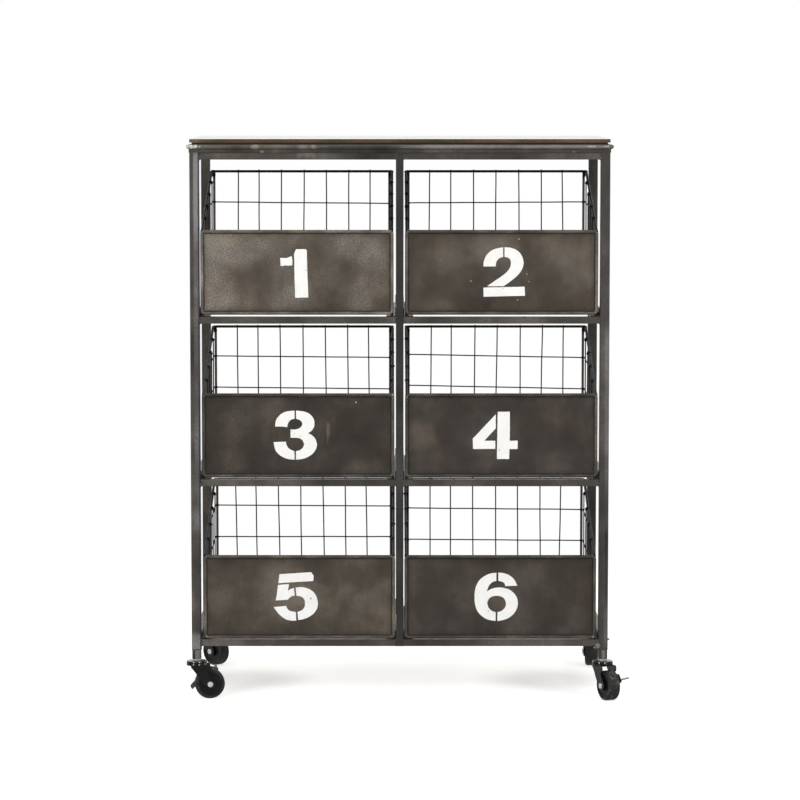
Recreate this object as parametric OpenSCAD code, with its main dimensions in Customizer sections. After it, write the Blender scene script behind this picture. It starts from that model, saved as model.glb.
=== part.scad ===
// Storage rack on casters: a welded frame of square steel tube with six wire
// baskets that slide out to the front on angle runners, each closed in front
// by a sheet panel in a rod frame. Below are four swivel casters with brakes.
// Millimetres, +Z up, X to the right, Y to the back. Z = 0 is the floor and
// X = Y = 0 is the middle of the rack.

/* [Rack frame] */
// Width over the corner posts
rack_w = 780; // [740:5:820]
// Depth over the corner posts
rack_d = 408; // [400:2:420]
// Height of the lowest rails' top face over the floor
first_rail_z = 112.5; // [108:0.5:118]
// Height from the lowest shelf level to the next
low_pitch = 301.8; // [300:0.1:310]
// Height from one shelf level to the next above that
shelf_pitch = 304.4; // [300:0.1:310]
// Side of the square corner posts
post_w = 18; // [17:0.5:19]
// Side of the square centre posts
centre_w = 14; // [13:0.5:15]
// Side of the square rails
rail_w = 13; // [12.5:0.5:14]
// How far rails and centre posts stand inside the corner posts' faces
frame_in = 1; // [0:0.5:2]
// Wall of the square tubes
tube_wall = 1.2; // [1:0.1:1.6]
// Outer corner radius of the square tubes
tube_r = 1.5; // [1:0.1:2]
// Height of the corner posts' lower ends over the floor
post_foot_z = 94; // [92:1:96]

/* [Top] */
// Height of the rolled moulding under the top plate
moulding_h = 15; // [15:0.5:17]
// Height of the plain band at the moulding's foot
moulding_band_h = 4.5; // [4:0.5:5]
// Radius of the moulding's round bead
bead_r = 4; // [3.5:0.5:4]
// How far the bead's centre stands outside the posts
bead_out = 1.9; // [1.5:0.1:2.2]
// Radius of the cove below the bead
cove_r = 2.5; // [2:0.5:2.5]
// How far the plain band stands outside the posts
band_out = 0.9; // [0.7:0.1:1.2]
// Height of the groove between moulding and top plate
groove_h = 3.5; // [2.5:0.5:4]
// How far the groove goes in under the top plate's edge
groove_in = 4.5; // [3:0.5:5]
// Width of the moulding's foot on the rails
moulding_foot_w = 14; // [12:1:16]
// Height of the top plate's turned-down edge
plate_h = 6.5; // [5:0.5:8]
// Thickness of the top plate's sheet
plate_t = 1.5; // [1:0.1:2]

/* [Runners] */
// Width of the runners' lying leg
runner_leg_w = 18; // [16:1:20]
// Height of the runners' standing leg
runner_leg_h = 16; // [12:1:20]
// Thickness of the runners' angle
runner_t = 1.5; // [1.2:0.1:1.6]

/* [Baskets] */
// Room between a basket's side and the post beside it
basket_side_gap = 3; // [2.8:0.1:4]
// Room behind the baskets, measured to the back of the rack
basket_back_gap = 39.5; // [36:0.5:50]
// Height of the front frame's lower edge over its rail
front_lift = 3.5; // [2.8:0.1:4.5]
// The same for the two lowest baskets, whose fronts hang lower
front_lift_low = 1.5; // [1:0.1:4.5]
// Height of the front frame
front_h = 158; // [148:0.5:165]
// Diameter of the front frame's rod
front_rod_d = 6; // [5:0.5:7]
// Bend radius of the front frame's rod, at its middle line
front_bend = 5; // [4:0.5:10]
// How far the front frame stands out of the posts' front
front_proud = 1; // [0:0.5:3]
// Thickness of the front panel's sheet
panel_t = 1.2; // [1:0.1:2]
// Corner radius of the front panel's sheet
panel_r = 3; // [2:0.5:8]
// Diameter of the rim rod, corner rods and base rod
rim_d = 5; // [4.5:0.5:5]
// Bend radius of the rim rod and base rod at the back corners
rim_bend = 9; // [8:1:12]
// Height of the rim's middle line at the back, over the rail
rim_back_z = 260.3; // [240:0.1:268]
// How far the corner rods stand inside the rim's sides
corner_rod_in = 5; // [4:0.5:7]
// Diameter of the mesh wires
wire_d = 2.4; // [2:0.1:2.8]
// How far the mesh wires are pressed into each other at a crossing
wire_weld = 0.4; // [0.3:0.1:0.6]
// Width of the mesh cells in the middle of the back
mesh_cell_w = 44; // [40:0.5:46]
// Width of the mesh cells beside them
mesh_edge_cell_w = 41; // [36:0.5:42]
// Height of the lowest level wire at the back, over the rail
mesh_first_z = 77; // [70:0.5:80]
// Height from one level wire to the next
mesh_cell_h = 61.5; // [58:0.5:64]
// Number of cross wires between front and back
cross_wires = 4; // [3:1:5]
// How far the side wires drop from back to front
side_drop = 10; // [0:1:14]
// How far the wire ends stand over the rim
wire_end = 1.5; // [0.5:0.5:2]
// Rest place of basket 1, to the right of its bay's middle
basket_1_shift = -1.5; // [-1.5:0.1:1.5]
// Rest place of basket 2, to the right of its bay's middle
basket_2_shift = -0.5; // [-1.5:0.1:1.5]
// Rest place of basket 3, to the right of its bay's middle
basket_3_shift = 0.0; // [-1.5:0.1:1.5]
// Rest place of basket 4, to the right of its bay's middle
basket_4_shift = -0.2; // [-1.5:0.1:1.5]
// Rest place of basket 5, to the right of its bay's middle
basket_5_shift = 1.5; // [-1.5:0.1:1.5]
// Rest place of basket 6, to the right of its bay's middle
basket_6_shift = -1.5; // [-1.5:0.1:1.5]

/* [Casters] */
// Wheel diameter
wheel_d = 56; // [50:1:57]
// Wheel width
wheel_w = 24; // [22:1:26]
// Rounding of the tyre's shoulders
tyre_shoulder = 5; // [3:0.5:5]
// Thickness of the tyre
tyre_t = 5.7; // [5.2:0.1:7]
// How far the axle trails behind the swivel axis
trail = 24; // [22:0.5:26]
// Diameter of the swivel cup
cup_d = 39; // [38:0.5:42]
// Height of the cup's top over the floor
cup_top_z = 72; // [71:0.5:73]
// Height of the cup
cup_h = 3.8; // [3.5:0.1:4.2]
// Height of the fork's head
fork_head_h = 4.9; // [4.5:0.1:5.2]
// Thickness of the fork's sheet
fork_t = 2.2; // [1.8:0.1:2.6]
// Diameter of the caster stem in its socket
stem_d = 10; // [9:0.5:10]
// Diameter of the stem's lower end through cup and fork
king_d = 8; // [7:0.5:8]
// Diameter of the stem's collar
collar_d = 16; // [14:0.5:18]
// Length of the stem inside its socket
stem_len = 32; // [26:1:34]
// Outer diameter of the round sockets under the posts
socket_d = 17.5; // [16:0.5:17.5]
// Length of the socket's spigot inside the post
spigot_len = 16; // [12:1:20]
// Axle diameter
axle_d = 6; // [5:0.5:7]
// Diameter of the axle's heads
axle_head_d = 10; // [9:0.5:11]
// Height of the axle's heads
axle_head_h = 2; // [1.5:0.1:2.5]
// Turn of the front left caster
yaw_front_left = 7; // [-180:0.1:180]
// Turn of the front right caster
yaw_front_right = -65.7; // [-180:0.1:180]
// Turn of the rear left caster
yaw_rear_left = -45; // [-180:0.1:180]
// Turn of the rear right caster
yaw_rear_right = -90; // [-180:0.1:180]
// Turn of the front right brake lever, pressed down
lever_front_right = 27; // [0:1:27]
// Thickness of the brake lever
lever_t = 1.5; // [1.2:0.1:1.6]
// Tilt of the brake lever's foot tab over its sheet
lever_tab_tilt = 30; // [0:1:35]
// Diameter of the brake lever's rivet
rivet_d = 4.5; // [4:0.5:5]

/* [Hidden] */
// Gap between pieces that meet
gap = 0.3;
$fn = 64;

second_rail_z = first_rail_z + low_pitch;
rail_z = [first_rail_z, second_rail_z, second_rail_z + shelf_pitch, second_rail_z + 2 * shelf_pitch];
top_z = rail_z[3];
plate_z = top_z + moulding_h;
cove_out = band_out - 0.3 + cove_r;
post_x = (rack_w - post_w) / 2;
post_y = (rack_d - post_w) / 2;
rail_x = (rack_w - rail_w) / 2 - frame_in;
rail_y = (rack_d - rail_w) / 2 - frame_in;
centre_y = (rack_d - centre_w) / 2 - frame_in;
bay_in = centre_w / 2;
bay_out = rack_w / 2 - post_w;
bay_w = bay_out - bay_in;
bay_x = (bay_out + bay_in) / 2;
basket_w = bay_w - 2 * basket_side_gap;

// Basket k stands in column (k + 1) % 2 and in level 2, 1 or 0 from the top.
function basket_level(k) = 2 - floor((k - 1) / 2);
function basket_sign(k) = k % 2 == 1 ? -1 : 1;
function lift(k) = basket_level(k) == 0 ? front_lift_low : front_lift;
shifts = [basket_1_shift, basket_2_shift, basket_3_shift,
 basket_4_shift, basket_5_shift, basket_6_shift];

// Basket lines, over the rail under it and from the rack's middle in Y
front_y = -rack_d / 2 - front_proud + front_rod_d / 2;
rim_x = basket_w / 2 - front_rod_d / 2;
rim_front_y = front_y + front_rod_d / 2 + gap;
rim_back_y = rack_d / 2 - basket_back_gap - rim_d / 2;
rim_front_z = front_lift + front_h - front_rod_d / 2;
rim_run = rim_back_y - rim_front_y;
rim_rise = rim_back_z - rim_front_z;
rim_tilt = atan2(rim_rise, rim_run);
rim_len = norm([rim_run, rim_rise]);
base_z = runner_t + gap + rim_d / 2;
rod_x = rim_x - corner_rod_in;
rod_turn = acos((rod_x - rim_x + rim_bend) / rim_bend);
rod_y = rim_back_y - rim_bend + rim_bend * sin(rod_turn);
rod_top_z = rim_back_z - (rim_back_y - rod_y) * rim_rise / rim_run - rim_d / 2 - gap - 0.6;
wire_step = wire_d - wire_weld;
wire_off = (rim_d + wire_d) / 2 + gap;
long_z = base_z + wire_step;
cross_z = base_z + wire_off;
up_x = rim_x - wire_off;
level_x = up_x + wire_step;
up_y = rim_back_y - wire_off;
level_y = up_y + wire_step;
cell_xs = [0, mesh_cell_w, 2 * mesh_cell_w, 2 * mesh_cell_w + mesh_edge_cell_w];
up_xs = [-cell_xs[3], -cell_xs[2], -cell_xs[1], 0, cell_xs[1], cell_xs[2], cell_xs[3]];
cross_step = (rim_back_y - rim_front_y) / (cross_wires + 1);
level_zs = [for (i = [0:2]) mesh_first_z + i * mesh_cell_h];
drop_slope = side_drop / rim_run;
rim_slope = rim_rise / rim_run;
function cross_y(i) = rim_front_y + i * cross_step;
function rim_z(y) = rim_back_z - rim_slope * (rim_back_y - y);
// Where a side wire at height z at the back has to end below the rim
side_close = rim_slope - drop_slope;
function side_end(z) = max(rim_front_y, rim_back_y - (rim_back_z - z - wire_off - 1) / side_close);
function side_z(z, y) = z - drop_slope * (rim_back_y - y);

// Caster lines, from the swivel axis along the trail and over the floor
axle_z = wheel_d / 2;
cup_z = cup_top_z - cup_h;
head_z = cup_z - gap - fork_head_h;
head_plate_t = 2.5;
cheek_in = wheel_w / 2 + 1.4;
cheek_out = cheek_in + fork_t;
lever_y = cheek_out + 0.6;
lever_x = trail - 11;
lever_z = axle_z + 12;
collar_z = cup_top_z + gap;
socket_z = 75;
socket_h = post_foot_z - socket_z;
spigot_d = post_w - 2 * tube_wall - 1;
collar_h = socket_z - gap - collar_z;
caster_x = [-post_x, post_x, -post_x, post_x];
caster_y = [-post_y, -post_y, post_y, post_y];
caster_yaw = [yaw_front_left, yaw_front_right, yaw_rear_left, yaw_rear_right];
lever_turn = [0, lever_front_right, 0, 0];

frame_colour = [0.36, 0.34, 0.31];
panel_colour = [0.33, 0.30, 0.27];
wire_colour = [0.13, 0.12, 0.12];
black = [0.05, 0.05, 0.05];
rubber = [0.09, 0.09, 0.09];
zinc = [0.75, 0.75, 0.74];

// Shared shapes

module round_square(w, h, r) {
 square([w - 2 * r, h], center = true);
 square([w, h - 2 * r], center = true);
 for (sx = [-1, 1]) {
  for (sy = [-1, 1]) {
   translate([sx * (w / 2 - r), sy * (h / 2 - r)]) circle(r = r);
  }
 }
}

module tube(w, len) {
 linear_extrude(height = len) difference() {
  round_square(w, w, tube_r);
  square(w - 2 * tube_wall, center = true);
 }
}

module rod(a, b, d) {
 v = b - a;
 translate(a) rotate([0, acos(v[2] / norm(v)), atan2(v[1], v[0])]) cylinder(h = norm(v), d = d);
}

module quarter_bend(bend, d) {
 rotate_extrude(angle = 90) translate([bend, 0]) circle(d = d);
}

// A rod bent to a U that is open towards -Y
module bent_u(half_w, len, bend, d) {
 rod([half_w, 0, 0], [half_w, len - bend, 0], d);
 rod([-half_w, 0, 0], [-half_w, len - bend, 0], d);
 rod([bend - half_w, len, 0], [half_w - bend, len, 0], d);
 translate([half_w - bend, len - bend, 0]) quarter_bend(bend, d);
 translate([bend - half_w, len - bend, 0]) rotate([0, 0, 90]) quarter_bend(bend, d);
}

// A rod bent to a closed rounded rectangle in the XY plane, by its middle line
module bent_ring(w, h, bend, d) {
 for (s = [0, 180]) {
  rotate([0, 0, s]) {
   rod([bend - w / 2, -h / 2, 0], [w / 2 - bend, -h / 2, 0], d);
   rod([w / 2, bend - h / 2, 0], [w / 2, h / 2 - bend, 0], d);
   translate([w / 2 - bend, h / 2 - bend, 0]) quarter_bend(bend, d);
   translate([w / 2 - bend, bend - h / 2, 0]) rotate([0, 0, -90]) quarter_bend(bend, d);
  }
 }
}

// Frame

module corner_post(sx, sy) {
 color(frame_colour) translate([sx * post_x, sy * post_y, post_foot_z]) tube(post_w, top_z - post_foot_z);
}

module centre_post(sy) {
 foot_z = rail_z[0] - rail_w;
 color(frame_colour) translate([0, sy * centre_y, foot_z]) tube(centre_w, top_z - foot_z);
}

module bay_rails(sx, sy) {
 for (z = rail_z) {
  translate([sx * bay_x - bay_w / 2, sy * rail_y, z - rail_w / 2]) rotate([0, 90, 0]) tube(rail_w, bay_w);
 }
}

module front_rails_left() {
 color(frame_colour) bay_rails(-1, -1);
}

module front_rails_right() {
 color(frame_colour) bay_rails(1, -1);
}

module rear_rails() {
 color(frame_colour) bay_rails(-1, 1);
 color(frame_colour) bay_rails(1, 1);
}

module side_rails() {
 color(frame_colour) for (sx = [-1, 1]) {
  for (z = rail_z) {
   translate([sx * rail_x, rack_d / 2 - post_w, z - rail_w / 2]) rotate([90, 0, 0])
    tube(rail_w, rack_d - 2 * post_w);
  }
 }
}

// An angle whose standing leg is at x = 0 and whose lying leg points to +X. It
// starts behind the basket's front frame, which hangs before it.
module runner() {
 start = rim_front_y + 0.7;
 end = rack_d / 2 - 1;
 translate([0, end, 0]) rotate([90, 0, 0]) linear_extrude(height = end - start) union() {
  square([runner_leg_w, runner_t]);
  square([runner_t, runner_leg_h]);
 }
}

module basket_runners() {
 color(frame_colour) for (z = [rail_z[0], rail_z[1], rail_z[2]]) {
  for (x = [bay_in, -bay_out]) {
   translate([x, 0, z]) runner();
   translate([-x, 0, z]) mirror([1, 0, 0]) runner();
  }
 }
}

// Section of the moulding: +X points outwards from the posts' face, +Y up
module moulding_section() {
 bead_z = moulding_h - bead_r;
 translate([-moulding_foot_w, 0]) square([moulding_foot_w + band_out, moulding_band_h]);
 difference() {
  union() {
   translate([-moulding_foot_w, moulding_band_h])
    square([moulding_foot_w + cove_out, bead_z - 2.5 - moulding_band_h]);
   translate([-moulding_foot_w, bead_z - 3]) square([moulding_foot_w + bead_out, bead_r + 3]);
   translate([bead_out, bead_z]) circle(r = bead_r);
  }
  translate([cove_out, moulding_band_h]) circle(r = cove_r);
 }
}

// A bar along X with the moulding's section on both its edges
module moulding_bar(len, depth) {
 rotate([90, 0, 90]) linear_extrude(height = len, center = true) union() {
  translate([depth / 2, 0]) moulding_section();
  translate([-depth / 2, 0]) mirror([1, 0]) moulding_section();
  translate([1 - depth / 2, 0]) square([depth - 2, moulding_h]);
 }
}

// What two crossed bars have in common has mitred corners. The opening leaves the moulding's foot.
module top_moulding() {
 over = 2 * (bead_out + bead_r + 2);
 foot = 2 * moulding_foot_w;
 color(frame_colour) translate([0, 0, top_z]) difference() {
  intersection() {
   moulding_bar(rack_w + over, rack_d);
   rotate([0, 0, 90]) moulding_bar(rack_d + over, rack_w);
  }
  translate([0, 0, -1]) linear_extrude(height = moulding_h + 2)
   square([rack_w - foot, rack_d - foot], center = true);
 }
}

// The sheet's turned-down edge is set in at its foot, so that a groove shows.
module top_plate() {
 neck = 2 * groove_in;
 inner = neck + 6;
 color(frame_colour) difference() {
  union() {
   translate([0, 0, plate_z]) linear_extrude(height = groove_h + 1)
    round_square(rack_w - neck, rack_d - neck, tube_r);
   translate([0, 0, plate_z + groove_h]) linear_extrude(height = plate_h)
    round_square(rack_w, rack_d, tube_r);
  }
  translate([0, 0, plate_z - 1]) linear_extrude(height = groove_h + plate_h - plate_t + 1)
   square([rack_w - inner, rack_d - inner], center = true);
 }
}

// Sockets, stems and cups: these stay with the frame.

module at_caster(i) {
 translate([caster_x[i], caster_y[i], 0]) rotate([0, 0, caster_yaw[i]]) children();
}

module stem_sockets() {
 color(frame_colour) for (i = [0:3]) {
  at_caster(i) difference() {
   union() {
    translate([0, 0, socket_z]) cylinder(h = socket_h, d = socket_d);
    translate([0, 0, post_foot_z - 1]) cylinder(h = spigot_len + 1, d = spigot_d);
   }
   translate([0, 0, socket_z - 1]) cylinder(h = socket_h + spigot_len + 2, d = stem_d + 2 * gap);
  }
 }
}

module caster_stems() {
 color(zinc) for (i = [0:3]) {
  at_caster(i) union() {
   translate([0, 0, collar_z + 1]) cylinder(h = stem_len + collar_h - 1, d = stem_d);
   translate([0, 0, collar_z]) cylinder(h = collar_h, d = collar_d);
   translate([0, 0, head_z - gap - 1]) cylinder(h = collar_z - head_z + gap + 2, d = king_d);
   translate([0, 0, head_z - gap - 2.6]) cylinder(h = 2.6, d = king_d + 6);
  }
 }
}

module caster_cups() {
 color(black) for (i = [0:3]) {
  at_caster(i) rotate_extrude() difference() {
   union() {
    translate([king_d / 2 + gap, cup_z]) square([cup_d / 2 - king_d / 2 - gap - 2.2, cup_h - 0.4]);
    translate([king_d / 2 + gap, cup_z]) square([cup_d / 2 - king_d / 2 - gap, cup_h - 2.6]);
    translate([cup_d / 2 - 2.2, cup_z + cup_h - 2.6]) circle(r = 2.2, $fn = 48);
    translate([king_d / 2 + gap, cup_z + 1]) square([8.5, cup_h - 1]);
   }
   translate([10, cup_z - 3]) square([7, 4.2]);
   translate([0, cup_z - 5]) square([cup_d, 5]);
  }
 }
}

// Baskets

module at_basket(k) {
 translate([basket_sign(k) * bay_x + shifts[k - 1], 0, rail_z[basket_level(k)]]) children();
}

module front_panel(k) {
 w = basket_w - 2 * front_rod_d - 2 * gap;
 h = front_h - 2 * front_rod_d - 2 * gap;
 color(panel_colour) at_basket(k) translate([0, front_y + panel_t / 2, lift(k) + front_h / 2])
  rotate([90, 0, 0]) linear_extrude(height = panel_t) round_square(w, h, panel_r);
}

module front_frame(k) {
 color(wire_colour) at_basket(k) translate([0, front_y, lift(k) + front_h / 2]) rotate([90, 0, 0])
  bent_ring(basket_w - front_rod_d, front_h - front_rod_d, front_bend, front_rod_d);
}

module basket_frame(k) {
 color(wire_colour) at_basket(k) {
  translate([0, rim_front_y, rim_front_z]) rotate([rim_tilt, 0, 0])
   bent_u(rim_x, rim_len, rim_bend, rim_d);
  translate([0, rim_front_y, base_z]) bent_u(rim_x, rim_run, rim_bend, rim_d);
  for (s = [-1, 1]) {
   rod([s * rod_x, rod_y, base_z + rim_d / 2 + gap], [s * rod_x, rod_y, rod_top_z], rim_d);
  }
 }
}

module wire(a, b) {
 rod(a, b, wire_d);
}

module mesh_back() {
 butt = rod_x - rim_d / 2 - gap;
 for (x = up_xs) {
  wire([x, up_y, long_z + wire_d / 2 + gap], [x, up_y, rim_back_z + rim_d / 2 + wire_end]);
 }
 for (z = level_zs) {
  wire([-butt, level_y, z], [butt, level_y, z]);
 }
}

module mesh_side(s) {
 for (i = [1:cross_wires]) {
  y = cross_y(i);
  wire([s * up_x, y, cross_z + wire_d / 2 + gap], [s * up_x, y, rim_z(y) + rim_d / 2 + wire_end]);
 }
 for (z = level_zs) {
  y = side_end(z);
  wire([s * level_x, y, side_z(z, y)], [s * level_x, rod_y - rim_d / 2 - gap, side_z(z, rod_y)]);
 }
}

module mesh_base() {
 for (x = up_xs) {
  wire([x, rim_front_y, long_z], [x, rim_back_y - rim_d / 2 - gap, long_z]);
 }
 for (i = [1:cross_wires]) {
  wire([-rim_x, cross_y(i), cross_z], [rim_x, cross_y(i), cross_z]);
 }
}

module basket_mesh(k) {
 color(wire_colour) at_basket(k) {
  mesh_back();
  mesh_side(-1);
  mesh_side(1);
  mesh_base();
 }
}

// Casters. Here +X is the trail direction and Z = 0 is the floor.

// A cheek with its ear, which shields the brake lever
module cheek_shape() {
 top = head_z + 1.5;
 union() {
  translate([trail, axle_z]) circle(r = 10);
  polygon([[-12.5, top], [-12.2, head_z - 2.5], [-8.5, head_z - 7], [-3.5, head_z - 13], [1, head_z - 21],
   [trail - 9.2, axle_z - 4], [trail, axle_z], [trail + 8.4, axle_z + 5.4],
   [18.5, head_z - 10], [12.5, head_z - 6], [12.5, top]]);
  polygon([[10, top], [10, head_z - 14], [20, head_z - 12], [26, head_z - 8], [26, head_z - 1], [22, top]]);
 }
}

module fork(i) {
 color(black) at_caster(i) difference() {
  union() {
   translate([0, 0, head_z]) rotate_extrude() union() {
    translate([king_d / 2 + gap, 0]) square([cup_d / 2 - king_d / 2 - gap - 1, head_plate_t]);
    translate([cup_d / 2 - 3.5, 0]) square([2.5, fork_head_h]);
    translate([cup_d / 2 - 1, 1]) square([1, fork_head_h - 2.5]);
    translate([cup_d / 2 - 1, 1]) circle(r = 1, $fn = 32);
    translate([cup_d / 2 - 1.5, fork_head_h - 1.5]) circle(r = 1.5, $fn = 32);
   }
   translate([0, -cheek_in, 0]) rotate([90, 0, 0]) linear_extrude(height = fork_t) cheek_shape();
   translate([0, cheek_out, 0]) rotate([90, 0, 0]) linear_extrude(height = fork_t) cheek_shape();
  }
  translate([trail, 0, axle_z]) rotate([90, 0, 0])
   cylinder(h = 3 * wheel_w, d = axle_d + 2 * gap, center = true);
  translate([lever_x, 0, lever_z]) rotate([-90, 0, 0]) cylinder(h = wheel_w, d = rivet_d + 2 * gap);
 }
}

// The axle with its two heads, and the rivet of the brake lever
module pins(i) {
 head_y = cheek_out + gap;
 rivet_y = cheek_in - gap - 0.7;
 rivet_end = lever_y + lever_t + gap;
 color(zinc) at_caster(i) {
  translate([trail, head_y + axle_head_h, axle_z]) rotate([90, 0, 0]) union() {
   cylinder(h = axle_head_h, d = axle_head_d, $fn = 6);
   translate([0, 0, 1]) cylinder(h = 2 * head_y + 2 * axle_head_h - 2, d = axle_d);
   translate([0, 0, axle_head_h + 2 * head_y]) cylinder(h = axle_head_h, d = axle_head_d);
  }
  translate([lever_x, rivet_y, lever_z]) rotate([-90, 0, 0]) union() {
   cylinder(h = 0.7, d = rivet_d + 3);
   cylinder(h = rivet_end - rivet_y + 0.5, d = rivet_d);
   translate([0, 0, rivet_end - rivet_y]) cylinder(h = 1.2, d = rivet_d + 3);
  }
 }
}

module hub(i) {
 rim_r = wheel_d / 2 - tyre_t - gap;
 color(black) at_caster(i) translate([trail, 0, axle_z]) rotate([90, 0, 0]) rotate_extrude() difference() {
  union() {
   translate([axle_d / 2 + gap, -wheel_w / 2 - 0.8]) square([4.5, wheel_w + 1.6]);
   translate([axle_d / 2 + gap, 2 - wheel_w / 2]) square([rim_r - axle_d / 2 - gap, wheel_w - 4]);
   translate([rim_r - 3, 1 - wheel_w / 2]) square([3, wheel_w - 2]);
  }
 }
}

module tyre(i) {
 in_r = wheel_d / 2 - tyre_t;
 out_r = wheel_d / 2;
 flat = wheel_w - 2 * tyre_shoulder;
 color(rubber) at_caster(i) translate([trail, 0, axle_z]) rotate([90, 0, 0]) rotate_extrude() union() {
  translate([in_r, -flat / 2]) square([tyre_t, flat]);
  translate([in_r, -wheel_w / 2]) square([out_r - tyre_shoulder - in_r, wheel_w]);
  translate([out_r - tyre_shoulder, flat / 2]) intersection() {
   circle(r = tyre_shoulder, $fn = 48);
   square([tyre_shoulder + 1, tyre_shoulder + 1]);
  }
  translate([out_r - tyre_shoulder, -flat / 2]) intersection() {
   circle(r = tyre_shoulder, $fn = 48);
   translate([0, -tyre_shoulder - 1]) square([tyre_shoulder + 1, tyre_shoulder + 1]);
  }
 }
}

// A flat rocker with a tab that is bent outwards for the foot
module brake_lever(i) {
 color(zinc) at_caster(i) translate([lever_x, lever_y, lever_z]) rotate([0, lever_turn[i], 0]) difference() {
  union() {
   translate([0, lever_t, 0]) rotate([90, 0, 0]) linear_extrude(height = lever_t) union() {
    polygon([[-24, -22.5], [-20.5, -26.5], [0, -7], [11, 0], [27.5, 7],
     [29, 12], [14, 17.5], [-1, 7], [-24, -18]]);
    circle(r = 7);
   }
   translate([21, 0.5, 9.2]) rotate([8, -lever_tab_tilt, 0]) linear_extrude(height = lever_t) union() {
    square([8, 15]);
    translate([4, 15]) circle(r = 4);
   }
  }
  translate([0, -1, 0]) rotate([-90, 0, 0]) cylinder(h = 5, d = rivet_d + 2 * gap);
 }
}

corner_post(-1, -1);  // post_front_left
corner_post(1, -1);  // post_front_right
corner_post(-1, 1);  // post_rear_left
corner_post(1, 1);  // post_rear_right
centre_post(-1);  // post_front_centre
centre_post(1);  // post_rear_centre
front_rails_left();
front_rails_right();
rear_rails();
side_rails();
basket_runners();
top_moulding();
top_plate();
stem_sockets();
caster_stems();
caster_cups();
front_panel(1);  // front_panel_1
front_panel(2);  // front_panel_2
front_panel(3);  // front_panel_3
front_panel(4);  // front_panel_4
front_panel(5);  // front_panel_5
front_panel(6);  // front_panel_6
front_frame(1);  // front_frame_1
front_frame(2);  // front_frame_2
front_frame(3);  // front_frame_3
front_frame(4);  // front_frame_4
front_frame(5);  // front_frame_5
front_frame(6);  // front_frame_6
basket_frame(1);  // basket_frame_1
basket_frame(2);  // basket_frame_2
basket_frame(3);  // basket_frame_3
basket_frame(4);  // basket_frame_4
basket_frame(5);  // basket_frame_5
basket_frame(6);  // basket_frame_6
basket_mesh(1);  // basket_mesh_1
basket_mesh(2);  // basket_mesh_2
basket_mesh(3);  // basket_mesh_3
basket_mesh(4);  // basket_mesh_4
basket_mesh(5);  // basket_mesh_5
basket_mesh(6);  // basket_mesh_6
fork(0);  // fork_front_left
fork(1);  // fork_front_right
fork(2);  // fork_rear_left
fork(3);  // fork_rear_right
pins(0);  // pins_front_left
pins(1);  // pins_front_right
pins(2);  // pins_rear_left
pins(3);  // pins_rear_right
hub(0);  // hub_front_left
hub(1);  // hub_front_right
hub(2);  // hub_rear_left
hub(3);  // hub_rear_right
tyre(0);  // tyre_front_left
tyre(1);  // tyre_front_right
tyre(2);  // tyre_rear_left
tyre(3);  // tyre_rear_right
brake_lever(0);  // brake_front_left
brake_lever(1);  // brake_front_right
brake_lever(2);  // brake_rear_left
brake_lever(3);  // brake_rear_right
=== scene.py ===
import math
import random

import bmesh
import bpy
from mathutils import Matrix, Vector, noise
from mathutils.geometry import tessellate_polygon


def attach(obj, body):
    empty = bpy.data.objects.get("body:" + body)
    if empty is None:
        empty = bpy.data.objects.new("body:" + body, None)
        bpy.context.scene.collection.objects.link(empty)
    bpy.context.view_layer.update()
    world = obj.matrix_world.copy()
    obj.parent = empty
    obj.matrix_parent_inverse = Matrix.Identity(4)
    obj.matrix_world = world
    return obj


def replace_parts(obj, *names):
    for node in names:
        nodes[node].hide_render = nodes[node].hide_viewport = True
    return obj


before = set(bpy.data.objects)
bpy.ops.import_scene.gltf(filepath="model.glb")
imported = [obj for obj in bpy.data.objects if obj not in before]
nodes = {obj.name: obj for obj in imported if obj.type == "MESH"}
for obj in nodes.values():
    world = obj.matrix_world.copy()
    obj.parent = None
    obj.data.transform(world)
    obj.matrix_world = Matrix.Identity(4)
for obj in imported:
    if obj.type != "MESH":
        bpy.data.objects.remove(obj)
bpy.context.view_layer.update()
scene = bpy.context.scene
MM = 0.001

# Places repeated from part.scad, in millimetres. Basket heights count from the upper face of the basket's rail.
RAIL_Z, RAIL_H = [112.5, 414.3, 718.7, 1023.1], 13.0
POST_X, POST_Y, POST_HALF = 381.0, 195.0, 9.0
BAY_IN, BAY_OUT, BAY_X = 7.0, 372.0, 189.5
SHIFTS = [-1.5, -0.5, 0.0, -0.2, 1.5, -1.5]
LIFTS = [3.5, 3.5, 3.5, 3.5, 1.5, 1.5]
FRONT_H = 158.0
RIM_X, RIM_FRONT_Y, RIM_BACK_Y = 176.5, -198.7, 162.0
RIM_FRONT_Z, RIM_BACK_Z, RIM_D = 158.5, 260.3, 5.0
ROD_X, ROD_Y, BASE_Z = 171.5, 161.06, 4.3
LONG_Z, CROSS_Z = 6.3, 8.3
UP_X, UP_Y, LEVEL_X, LEVEL_Y = 172.5, 158.0, 174.5, 160.0
WIRE_R = 1.2
SIDE_DROP = 10.0
RIM_SLOPE = (RIM_BACK_Z - RIM_FRONT_Z) / (RIM_BACK_Y - RIM_FRONT_Y)
DROP_SLOPE = SIDE_DROP / (RIM_BACK_Y - RIM_FRONT_Y)
CORNERS = ["front_left", "front_right", "rear_left", "rear_right"]

# The y of the faces that look to the front
POST_FACE_Y, RAIL_FACE_Y, LIP_FACE_Y, BEAD_FACE_Y = -204, -203, -206, -209.8
ROD_FACE_Y, PANEL_Y = -205.0, -202.6


def basket_place(k):
    """The x of basket k's middle and the height of its rail."""
    sign = -1 if k % 2 else 1
    return sign * BAY_X + SHIFTS[k - 1], RAIL_Z[2 - (k - 1) // 2]


def panel_centre(k):
    cx, z0 = basket_place(k)
    return cx, z0 + LIFTS[k - 1] + FRONT_H / 2


# Camera and light


def aim(obj, target):
    obj.rotation_euler = (Vector(target) - obj.location).to_track_quat("-Z", "Y").to_euler()


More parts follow.
